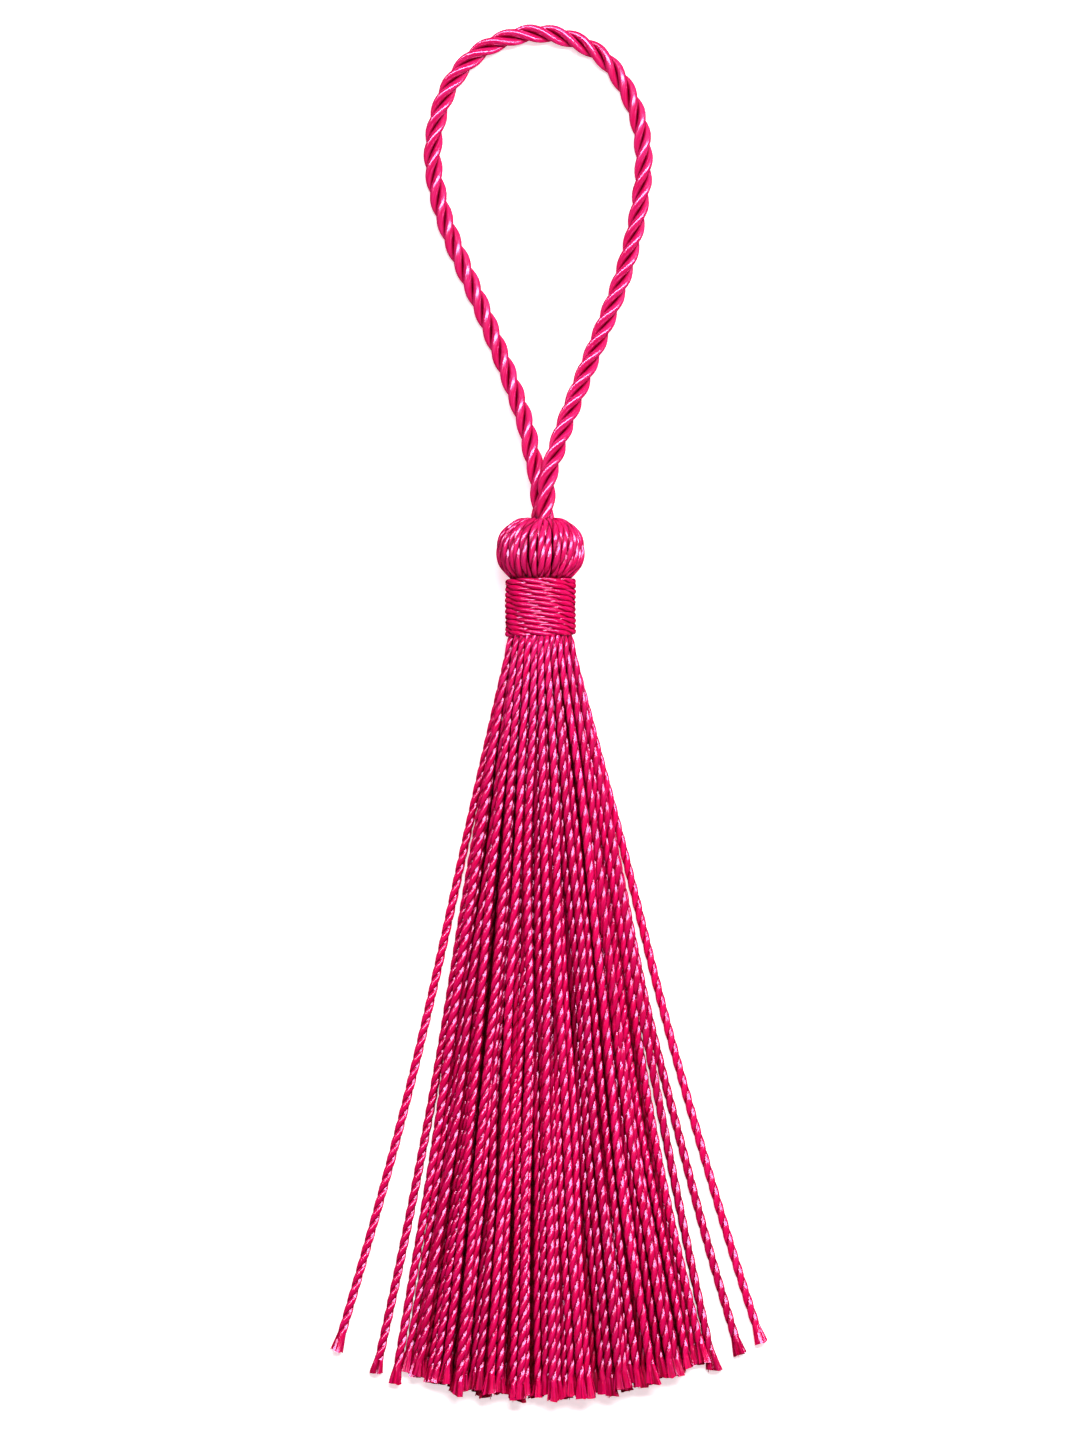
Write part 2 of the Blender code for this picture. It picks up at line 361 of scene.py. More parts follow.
@dataclass(frozen=True)
class Course:
    """The middle line that a yarn is laid along, and how full the yarn is at each of its points."""

    points: list[Vector]
    fullness: list[float]

    def as_curve(self) -> Object:
        """Makes the course a curve that a yarn can be bent along.

        Returns:
            The curve's object.
        """
        curve = bpy.data.curves.new("course", "CURVE")
        curve.dimensions = "3D"
        curve.twist_mode = "Z_UP"
        curve.use_stretch = True
        curve.use_deform_bounds = True
        spline = curve.splines.new("POLY")
        spline.points.add(len(self.points) - 1)
        for point, place, full in zip(spline.points, self.points, self.fullness):
            point.co = (*place, 1.0)
            point.radius = full
        return added("course", curve)

    @classmethod
    def through(cls, stops: list[tuple[Vector, float]], spacing: float) -> "Course":
        """A smooth course through a few stops.

        Args:
            stops: the places that it passes and the fullness at each.
            spacing: distance between its points.

        Returns:
            The course, with evenly spaced points.
        """
        rows = np.array([(*place, full) for place, full in stops])
        padded = np.vstack([2 * rows[0] - rows[1], rows, 2 * rows[-1] - rows[-2]])
        fine = []
        for before, start, end, after in zip(padded, padded[1:], padded[2:], padded[3:]):
            slope = end - before
            bend = 2 * before - 5 * start + 4 * end - after
            twist = 3 * start - before - 3 * end + after
            for t in np.linspace(0, 1, STEPS_BETWEEN_STOPS, endpoint=False):
                fine.append(0.5 * (2 * start + slope * t + bend * t**2 + twist * t**3))
        fine = np.array([*fine, rows[-1]])
        steps = np.linalg.norm(np.diff(fine[:, :3], axis=0), axis=1)
        along = np.concatenate([[0], np.cumsum(steps)])
        at = np.linspace(0, along[-1], round(along[-1] / spacing) + 1)
        even = np.stack([np.interp(at, along, fine[:, k]) for k in range(4)], axis=1)
        return cls([Vector(row[:3]) for row in even], [float(row[3]) for row in even])


@dataclass(frozen=True)
class Yarn:
    """A yarn of several plies twisted together to the right, straight along +Z from the origin.

    Attributes:
        width: across its plies.
        plies: how many.
        turn: the length in which a ply goes once round.
        section: distance of the surface from the middle, from a ply's crest to the groove beside
            it, at even angles, as shares of half the width.
        rings: rings of points in one turn.
    """

    width: float
    plies: int
    turn: float
    section: tuple[float, ...]
    rings: int

    def ring_points(self) -> int:
        """Points round the yarn."""
        return 2 * (len(self.section) - 1) * self.plies

    def add_section(self, name: str) -> Object:
        """Adds a circle, and draws its points in to the outline of the plies.

        Args:
            name: the new object's name.

        Returns:
            The outline, in the plane of X and Y.
        """
        deselect_all()
        count = self.ring_points()
        bpy.ops.mesh.primitive_circle_add(vertices=count, radius=self.width / 2)
        outline = just_added(name)
        places = points_of(outline.data)
        turned = np.arctan2(places[:, 0], places[:, 1]) % (FULL_TURN / self.plies)
        from_crest = np.rint(turned * count / FULL_TURN).astype(int) % (count // self.plies)
        from_crest = np.minimum(from_crest, count // self.plies - from_crest)
        for step, share in enumerate(self.section):
            with editing(outline, from_crest == step):
                bpy.ops.transform.resize(value=(share, share, 1), center_override=(0, 0, 0))
        return outline

    def twisted(self, name: str, turns: int) -> Object:
        """Twists the section to a straight yarn.

        Args:
            name: the new object's name.
            turns: its length in whole turns.

        Returns:
            The yarn, open at both ends.
        """
        yarn = self.add_section(name)
        screw = yarn.modifiers.new("twist", "SCREW")
        screw.axis = "Z"
        screw.angle = FULL_TURN
        screw.screw_offset = self.turn
        screw.iterations = turns
        screw.steps = screw.render_steps = self.rings
        apply_modifiers(yarn)
        return yarn

    def close(self, yarn: Object, height: float) -> None:
        """Closes the yarn's open end at a height.

        Args:
            yarn: the yarn.
            height: where the end is on Z.
        """
        with editing(yarn, np.abs(points_of(yarn.data)[:, 2] - height) < TINY):
            bpy.ops.mesh.edge_face_add()

    def keep_lay(self, yarn: Object, twisted_length: float) -> None:
        """Keeps each point's place in the untwisted yarn, in millimetres, with a crest along Y.

        The fibres run along the plies, so a pattern on that place runs along them too.

        Args:
            yarn: the straight yarn.
            twisted_length: where on Z the twist ends.
        """
        places = points_of(yarn.data)
        angle = -FULL_TURN * np.minimum(places[:, 2], twisted_length) / self.turn
        x, y = places[:, 0], places[:, 1]
        untwisted = np.stack(
            [x * np.cos(angle) - y * np.sin(angle), x * np.sin(angle) + y * np.cos(angle)], axis=1
        )
        from_middle = np.linalg.norm(untwisted, axis=1)
        half = self.width / 2
        untwisted *= (np.minimum(from_middle, half) / np.maximum(from_middle, TINY))[:, None]
        lay = np.column_stack([untwisted, places[:, 2]]) / MM
        write_values(yarn.data, "lay", lay)
        write_values(yarn.data, "tone", np.zeros(len(lay)))
        opened = (places[:, 2] - twisted_length) / self.width
        write_values(yarn.data, "fray", np.clip(opened, 0.0, 1.0))
        self.map_along(yarn.data, lay)

    def map_along(self, mesh: Mesh, lay: np.ndarray) -> None:
        """Gives the yarn a UV map in millimetres: U along its plies and V from ply to ply.

        Args:
            mesh: the straight yarn's mesh.
            lay: each point's place in the untwisted yarn.
        """
        corners = np.empty(len(mesh.loops), int)
        mesh.loops.foreach_get("vertex_index", corners)
        sizes = np.empty(len(mesh.polygons), int)
        mesh.polygons.foreach_get("loop_total", sizes)
        face = np.repeat(np.arange(len(sizes)), sizes)
        places = lay[corners]
        angle = np.arctan2(places[:, 1], places[:, 0])
        sines, cosines = (np.bincount(face, wave(angle)) for wave in (np.sin, np.cos))
        middle = np.arctan2(sines, cosines)[face]
        angle = middle + (angle - middle + math.pi) % FULL_TURN - math.pi
        while mesh.uv_layers:
            mesh.uv_layers.remove(mesh.uv_layers[0])
        layer = mesh.uv_layers.new(name=ALONG_MAP)
        flat = np.column_stack([places[:, 2], -angle * self.width / 2 / MM])
        layer.data.foreach_set("uv", flat.ravel())

    def finish_shading(self, yarn: Object) -> None:
        """Turns the faces outwards, and shades them smooth but for the grooves.

        Args:
            yarn: the yarn, closed at both ends.
        """
        with editing(yarn, np.full(len(yarn.data.vertices), True)):
            bpy.ops.mesh.remove_doubles(threshold=TINY)
            bpy.ops.mesh.normals_make_consistent(inside=False)
        bpy.ops.object.shade_smooth_by_angle(angle=SHARP_GROOVE)

    def whole(self, name: str, turns: int) -> Object:
        """A length of yarn with both ends closed, ready to be laid.

        Args:
            name: the new object's name.
            turns: its length in whole turns.

        Returns:
            The yarn.
        """
        yarn = self.twisted(name, turns)
        for height in (0.0, turns * self.turn):
            self.close(yarn, height)
        self.finish_shading(yarn)
        self.keep_lay(yarn, turns * self.turn)
        return yarn


def lay_copy(yarn: Object, course: Course, rng: random.Random, tone: float = 0.0) -> Object:
    """Lays a copy of a straight yarn along a course, turned about itself by chance.

    Args:
        yarn: the straight yarn.
        course: where it goes.
        rng: the source of chance.
        tone: from -1 for a darker strand to 1 for a lighter one.

    Returns:
        The laid yarn, with its place in its mesh.
    """
    laid = copy_of(yarn)
    laid.data.transform(Matrix.Rotation(rng.uniform(0, FULL_TURN), 4, "Z"))
    shift = np.array([0.0, 0.0, rng.uniform(-PATTERN_SHIFT, PATTERN_SHIFT)])
    write_values(laid.data, "lay", read_vectors(laid.data, "lay") + shift)
    write_values(laid.data, "tone", np.full(len(laid.data.vertices), tone))
    guide = course.as_curve()
    bend = laid.modifiers.new("lay along course", "CURVE")
    bend.object = guide
    bend.deform_axis = "POS_Z"
    apply_modifiers(laid)
    remove(guide)
    return laid


def dress(piece: Object, material: Material, slot: str, node: str) -> None:
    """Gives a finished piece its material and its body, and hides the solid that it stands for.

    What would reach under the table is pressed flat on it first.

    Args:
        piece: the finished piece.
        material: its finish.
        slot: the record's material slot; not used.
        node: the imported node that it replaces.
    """
    places = points_of(piece.data)
    places[:, 2] = np.maximum(places[:, 2], 0.0)
    put_points(piece.data, places)
    piece.data.materials.clear()
    piece.data.materials.append(material)
    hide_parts(node)
    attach(piece, "root")
    LOG.info("%s: %d faces", piece.name, len(piece.data.polygons))


# How the looks of silk filament follow its yarn. The "lay" of a point is in millimetres.
SILK_IOR = 1.54
GLOSS_DRAWN_OUT = 0.8  # the plies are smooth along their fibres, so the gloss is a dash along them
BUNDLE_LENGTH = 30  # times its width, before a bundle of fibres dips under
PALER_FIBRES = (0.42, 0.75)  # of the noise, from no paler fibres to all of them
TONES = (0.8, 1.12)  # of the darkest and of the lightest strand
GROOVE = (0.5, 0.08)  # of the wave over a ply, from the groove's first painted shade to its deepest
CREVICE = (0.68, 0.22)  # of the open sky, from the first painted shade between strands to the deepest
CREVICE_REACH = 1.9 * MM  # painted shade: little light comes between strands that touch, within about their width
LET_THROUGH = 0.45  # the crevice's painted shade between the thin fibres of an opened end, which let more light in
PARTED_BUNDLES = (5.0, 5.0, 0.05)  # to a millimetre: 0.2 mm wide, straight along an opened end
PARTED = (0.5, 0.36)  # of their noise, from the edge of a dark line of painted shade to its middle
PARTED_SHADE = 0.6  # of the painted shade's colour in a dark line
PAINTED_SHEEN_BUNDLES = (4.0, 4.0, 0.1)  # painted sheen streaks, to a millimetre: 0.25 mm wide, on top for about 10 mm
PAINTED_SHEEN = (0.46, 0.64)  # of their noise, from no painted sheen to all of it
PAINTED_SHEEN_REACH = (8.0, 34.0)  # millimetres from a strand's root, from the most painted sheen to none
BUNDLE_RELIEF = 0.7  # strength of the relief of the bundles of fibres


@dataclass(frozen=True)
class SilkFinish:
    """Twisted silk, dyed in the hank: painted shade in the grooves, and a bright line on each
    crest.

    Attributes:
        name: the material's name.
        body: colour of the plies.
        lit: colour of the paler fibres among them.
        shade: colour of the painted shade in the grooves and between strands, where little light
            comes.
        crown: how much rounder than its mesh each ply is, from its crest to the groove.
        gloss: how strongly the fibres mirror, 0.5 being what silk has by itself.
        roughness: of that gloss.
        fibre: width of one bundle of fibres, in millimetres.
        relief: how far a bundle of fibres stands out.
        plies: how many the yarn has.
        groove: share of the painted shade's colour in the grooves between the plies.
        painted_sheen: share of the painted sheen, pale streaks on the strands just under the tie.
    """

    name: str
    body: Hue
    lit: Hue
    shade: Hue
    crown: float
    gloss: float
    roughness: float
    fibre: float
    relief: float
    plies: int = 2
    groove: float = 0.85
    painted_sheen: float = 0.0

    def material(self) -> Material:
        """Makes the material.

        Returns:
            The material.
        """
        material, tree = new_material(self.name)
        lay = add_node(tree, "ShaderNodeAttribute", attribute_name="lay").outputs["Vector"]
        tone = add_node(tree, "ShaderNodeAttribute", attribute_name="tone")
        crest = self.crest(tree, lay)
        across = 1 / self.fibre
        scale = (across, across, across / BUNDLE_LENGTH)
        bundles = add_node(tree, "ShaderNodeMapping", {"Vector": lay, "Scale": scale})
        streaks = add_node(
            tree,
            "ShaderNodeTexNoise",
            {"Vector": bundles.outputs["Vector"], "Scale": 1.0, "Detail": 2.0, "Roughness": 0.6},
        )
        first, last = PALER_FIBRES
        paler = add_node(
            tree,
            "ShaderNodeMapRange",
            {"Value": streaks.outputs["Fac"], "From Min": first, "From Max": last},
        )
        body, lit = linear(self.body), linear(self.lit)
        fibres = add_node(
            tree,
            "ShaderNodeMix",
            {0: paler.outputs["Result"], MIX_A: body, MIX_B: lit},
            data_type="RGBA",
        )
        # Painted sheen: pale streaks mixed into the colour just under the tie.
        share, painted_sheen = self.painted_sheen_share(tree, lay), linear(Hue.SATIN_PINK)
        filament = add_node(
            tree,
            "ShaderNodeMix",
            {0: share, MIX_A: fibres.outputs[MIX_RESULT], MIX_B: painted_sheen},
            data_type="RGBA",
        )
        # Painted shade: the shade's colour is mixed in where little light comes.
        depth, shade = self.shade_share(tree, lay, crest), linear(self.shade)
        dyed = add_node(
            tree,
            "ShaderNodeMix",
            {0: depth, MIX_A: filament.outputs[MIX_RESULT], MIX_B: shade},
            data_type="RGBA",
        )
        darkest, lightest = TONES
        value = add_node(
            tree,
            "ShaderNodeMapRange",
            {
                "Value": tone.outputs["Fac"],
                "From Min": -1.0,
                "From Max": 1.0,
                "To Min": darkest,
                "To Max": lightest,
            },
        )
        toned = add_node(
            tree,
            "ShaderNodeHueSaturation",
            {"Value": value.outputs["Result"], "Color": dyed.outputs[MIX_RESULT]},
        )
        round_plies = add_node(
            tree, "ShaderNodeBump", {"Height": crest, "Strength": 1.0, "Distance": self.crown}
        )
        relief = add_node(
            tree,
            "ShaderNodeBump",
            {
                "Height": streaks.outputs["Fac"],
                "Strength": BUNDLE_RELIEF,
                "Distance": self.relief,
                "Normal": round_plies.outputs["Normal"],
            },
        )
        along = add_node(tree, "ShaderNodeTangent", direction_type="UV_MAP", uv_map=ALONG_MAP)
        silk = add_node(
            tree,
            "ShaderNodeBsdfPrincipled",
            {
                "Base Color": toned.outputs["Color"],
                "Roughness": self.roughness,
                "IOR": SILK_IOR,
                "Specular IOR Level": self.gloss,
                "Specular Tint": linear(Hue.PALE_PINK),
                "Anisotropic": GLOSS_DRAWN_OUT,
                "Tangent": along.outputs["Tangent"],
                "Normal": relief.outputs["Normal"],
            },
        )
        add_node(tree, "ShaderNodeOutputMaterial", {"Surface": silk.outputs["BSDF"]})
        return material

    def crest(self, tree: NodeTree, lay: NodeSocket) -> NodeSocket:
        """Adds what tells a ply's crest from the groove beside it.

        Args:
            tree: the node tree.
            lay: the place in the untwisted yarn.

        Returns:
            The socket that gives 1 on a crest and 0 in a groove.
        """
        place = add_node(tree, "ShaderNodeSeparateXYZ", {"Vector": lay})
        value = place.outputs["X"]
        for operation, *more in (
            ("ARCTAN2", place.outputs["Y"]),
            ("MULTIPLY", self.plies / 2),
            ("COSINE",),
            ("ABSOLUTE",),
        ):
            inputs = dict(enumerate((value, *more)))
            step = add_node(tree, "ShaderNodeMath", inputs, operation=operation)
            value = step.outputs["Value"]
        return value

    def shade_share(self, tree: NodeTree, lay: NodeSocket, crest: NodeSocket) -> NodeSocket:
        """Adds the painted shade in the grooves, between the strands and between an open end's
        fibres.

        Args:
            tree: the node tree.
            lay: the place in the untwisted yarn.
            crest: 1 on a ply's crest and 0 in a groove.

        Returns:
            The socket that gives the share of the shade's colour.
        """
        fray = add_node(tree, "ShaderNodeAttribute", attribute_name="fray").outputs["Fac"]
        # Painted shade in the grooves between the plies.
        first, deepest = GROOVE
        groove = add_node(
            tree,
            "ShaderNodeMapRange",
            {"Value": crest, "From Min": first, "From Max": deepest, "To Max": self.groove},
            interpolation_type="SMOOTHSTEP",
        )
        # Painted shade between the strands, from ambient occlusion, lighter at an opened end.
        open_sky = add_node(
            tree, "ShaderNodeAmbientOcclusion", {"Distance": CREVICE_REACH}, samples=6
        )
        darkest = add_node(
            tree, "ShaderNodeMapRange", {"Value": fray, "To Min": 1.0, "To Max": LET_THROUGH}
        )
        first, deepest = CREVICE
        crevice = add_node(
            tree,
            "ShaderNodeMapRange",
            {
                "Value": open_sky.outputs["AO"],
                "From Min": first,
                "From Max": deepest,
                "To Max": darkest.outputs["Result"],
            },
        )
        share = groove.outputs["Result"]
        for other in (self.parted(tree, lay, fray), crevice.outputs["Result"]):
            deeper = add_node(tree, "ShaderNodeMath", {0: share, 1: other}, operation="MAXIMUM")
            share = deeper.outputs["Value"]
        return share

    def parted(self, tree: NodeTree, lay: NodeSocket, fray: NodeSocket) -> NodeSocket:
        """Adds the painted shade between the bundles of fibres of an opened end, as dark lines.

        Args:
            tree: the node tree.
            lay: the place in the untwisted yarn.
            fray: from 0 on the closed yarn to 1 where it has opened.

        Returns:
            The socket that gives the lines' share of the shade, 0 all along the closed yarn.
        """
        across = add_node(tree, "ShaderNodeMapping", {"Vector": lay, "Scale": PARTED_BUNDLES})
        bundles = add_node(
            tree,
            "ShaderNodeTexNoise",
            {"Vector": across.outputs["Vector"], "Scale": 1.0, "Detail": 1.0},
        )
        edge, middle = PARTED
        lines = add_node(
            tree,
            "ShaderNodeMapRange",
            {
                "Value": bundles.outputs["Fac"],
                "From Min": edge,
                "From Max": middle,
                "To Max": PARTED_SHADE,
            },
        )
        share = add_node(
            tree, "ShaderNodeMath", {0: lines.outputs["Result"], 1: fray}, operation="MULTIPLY"
        )
        return share.outputs["Value"]

    def painted_sheen_share(self, tree: NodeTree, lay: NodeSocket) -> NodeSocket:
        """Adds the painted sheen: pale streaks on the strands, most of them just under the tie.

        Args:
            tree: the node tree.
            lay: the place in the untwisted yarn.

        Returns:
            The socket that gives the share of the pale colour.
        """
        bundles = add_node(tree, "ShaderNodeMapping", {"Vector": lay, "Scale": PAINTED_SHEEN_BUNDLES})
        noise = add_node(
            tree,
            "ShaderNodeTexNoise",
            {"Vector": bundles.outputs["Vector"], "Scale": 1.0, "Detail": 1.5},
        )
        first, last = PAINTED_SHEEN
        streaks = add_node(
            tree,
            "ShaderNodeMapRange",
            {"Value": noise.outputs["Fac"], "From Min": first, "From Max": last},
        )
        along = add_node(tree, "ShaderNodeUVMap", uv_map=ALONG_MAP)
        place = add_node(tree, "ShaderNodeSeparateXYZ", {"Vector": along.outputs["UV"]})
        by_the_tie, further_down = PAINTED_SHEEN_REACH
        held = add_node(
            tree,
            "ShaderNodeMapRange",
            {
                "Value": place.outputs["X"],
                "From Min": by_the_tie,
                "From Max": further_down,
                "To Min": self.painted_sheen,
                "To Max": 0.0,
            },
        )
        share = add_node(
            tree,
            "ShaderNodeMath",
            {0: streaks.outputs["Result"], 1: held.outputs["Result"]},
            operation="MULTIPLY",
        )
        return share.outputs["Value"]


# Filament silk, two-ply and thrown tight, glossy: each ply shows a short bright dash at its crest.
STRAND_SILK = SilkFinish(
    "strand_silk_filament_two_ply",
    body=Hue.HOT_PINK,
    lit=Hue.LIT_PINK,
    shade=Hue.CRIMSON,
    crown=0.28 * MM,
    gloss=0.62,
    roughness=0.15,
    fibre=0.1,
    relief=0.01 * MM,
    # painted sheen: pale streaks on the strands just under the tie
    painted_sheen=0.5,
)
# The same yarn under two others, which keep the lamp from it: painted shade, a deeper colour, and
# nearly matt.
SHADED_SILK = SilkFinish(
    "shaded_silk_filament_two_ply",
    body=Hue.DEEP_PINK,
    lit=Hue.HOT_PINK,
    shade=Hue.DEEP_CRIMSON,
    crown=0.28 * MM,
    gloss=0.12,
    roughness=0.3,
    fibre=0.3,
    relief=0.012 * MM,
)
# The lowest layer of all, where hardly any light comes: painted shade, a dull dark ground to the
# rest.
UNDER_SILK = replace(
    SHADED_SILK,
    name="under_silk_filament_in_shade",
    body=Hue.CRIMSON,
    lit=Hue.CRIMSON,
    crown=0.2 * MM,
    gloss=0.1,
    roughness=0.5,
)
# The same yarn with its twist let out where it is folded over: fuller and with more satin gloss.
FOLDED_SILK = SilkFinish(
    "folded_silk_filament_let_out",
    body=Hue.ROSE,
    lit=Hue.LIT_ROSE,
    shade=Hue.CRIMSON,
    crown=0.26 * MM,
    groove=0.8,
    gloss=1.0,
    roughness=0.19,
    fibre=0.12,
    relief=0.014 * MM,
)
# The same yarn wound under tension: its grooves pressed to sharp lines dark with painted shade, its
# plies smooth.
TIE_SILK = replace(
    STRAND_SILK,
    name="tie_silk_filament_wound_tight",
    crown=0.25 * MM,
    groove=0.95,
    gloss=0.72,
    roughness=0.14,
    fibre=0.12,
    relief=0.012 * MM,
    painted_sheen=0.0,
)
# Three thick plies of lightly twisted filament: satin plies with fine lines along them.
CORD_SILK = SilkFinish(
    "cord_silk_filament_three_ply",
    body=Hue.ROSE,
    lit=Hue.LIT_ROSE,
    shade=Hue.CRIMSON,
    plies=3,
    crown=0.4 * MM,
    groove=1.0,
    gloss=1.4,
    roughness=0.21,
    fibre=0.2,
    relief=0.02 * MM,
)


@dataclass(frozen=True)
class PackedSilk:
    """The yarn packed inside the head and neck, seen only as dark chinks between the strands: its
    colour is painted shade.
    """

    name: str = "core_silk_packed_yarn"
    colour: Hue = Hue.DEEP_CRIMSON
    roughness: float = 0.6
    gloss: float = 0.05
    strand: float = 1.2 * MM
    strand_length: int = 20  # times its width, before a strand dips under
    relief: float = 0.2 * MM
    relief_strength: float = 0.8

    def material(self) -> Material:
        """Makes the material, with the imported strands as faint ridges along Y.

        Returns:
            The material.
        """
        material, tree = new_material(self.name)
        place = add_node(tree, "ShaderNodeTexCoord")
        across = 1 / self.strand
        scale = (across, across / self.strand_length, across)
        along = add_node(
            tree, "ShaderNodeMapping", {"Vector": place.outputs["Object"], "Scale": scale}
        )
        ridges = add_node(
            tree, "ShaderNodeTexNoise", {"Vector": along.outputs["Vector"], "Scale": 1.0}
        )
        relief = add_node(
            tree,
            "ShaderNodeBump",
            {
                "Height": ridges.outputs["Fac"],
                "Strength": self.relief_strength,
                "Distance": self.relief,
            },
        )
        silk = add_node(
            tree,
            "ShaderNodeBsdfPrincipled",
            {
                "Base Color": linear(self.colour),
                "Roughness": self.roughness,
                "Specular IOR Level": self.gloss,
                "Normal": relief.outputs["Normal"],
            },
        )
        add_node(tree, "ShaderNodeOutputMaterial", {"Surface": silk.outputs["BSDF"]})
        return material


@dataclass
class HangingLoop:
    """The three-ply cord loop, from inside the head, round on the table and back inside it."""

    rng: random.Random  # the source of chance, the same for all parts
    yarn: Yarn = Yarn(
        width=3.0 * MM,
        plies=3,
        turn=11.7 * MM,
        section=(1.0, 0.978, 0.912, 0.8, 0.64, 0.42),
        rings=36,
    )
    real_length: float = 186.2 * MM
    # Its plies stand out a little past the cord's trade width.
    fullness: float = 1.04
    spacing: float = 1.25 * MM
    # Both ends go on a little way inside the head.
    hidden_start: tuple[float, float, float] = (-1.45, 71.0, 5.2)
    hidden_end: tuple[float, float, float] = (-0.8, 71.0, 7.9)
    # The middle line, in millimetres.
    route: tuple[tuple[float, float, float], ...] = (
        (-1.50, 73.97, 4.90),
        (-1.60, 76.70, 4.80),
        (-2.00, 80.50, 4.45),
        (-2.80, 83.90, 4.00),
        (-3.80, 88.70, 3.20),
        (-6.00, 95.30, 2.30),
        (-8.50, 101.80, 1.72),
        (-11.20, 108.50, 1.53),
        (-14.20, 115.30, 1.52),
        (-16.50, 120.80, 1.52),
        (-18.40, 126.90, 1.52),
        (-19.35, 133.50, 1.52),
        (-18.60, 139.90, 1.52),
        (-16.20, 146.00, 1.52),
        (-11.90, 150.90, 1.52),
        (-6.30, 153.60, 1.52),
        (-0.90, 154.20, 1.52),
        (4.50, 152.95, 1.52),
        (9.20, 150.00, 1.52),
        (12.70, 145.20, 1.52),
        (15.00, 139.40, 1.52),
        (15.75, 133.20, 1.52),
        (15.20, 126.60, 1.52),
        (13.70, 119.00, 1.52),
        (11.60, 112.00, 1.56),
        (8.90, 104.90, 2.10),
        (6.30, 98.40, 3.10),
        (3.60, 91.60, 4.70),
        (2.00, 87.20, 5.90),
        (0.90, 83.80, 6.90),
        (-0.10, 80.50, 7.70),
        (-0.50, 76.70, 8.15),
        (-0.65, 73.97, 8.20),
    )

    def course(self) -> Course:
        """The cord's middle line from inside the head, round and back inside it.

        Returns:
            The course.
        """
        places = (self.hidden_start, *self.route, self.hidden_end)
        stops = [(Vector(place) * MM, self.fullness) for place in places]
        return Course.through(stops, self.spacing)

    def build(self) -> None:
        """Twists the cord and lays it along its route."""
        course = self.course()
        turns = round(self.spacing * (len(course.points) - 1) / self.yarn.turn)
        straight = self.yarn.whole("straight_cord", turns)
        cord = joined([lay_copy(straight, course, self.rng)], "loop_cord")
        remove(straight)
        dress(cord, CORD_SILK.material(), "cord_silk", "hanging_loop")


class RibStop(NamedTuple):
    """A stop of a folded strand: how far under the head's top and from its axis, and how full."""

    depth: float
    radius: float
    fullness: float


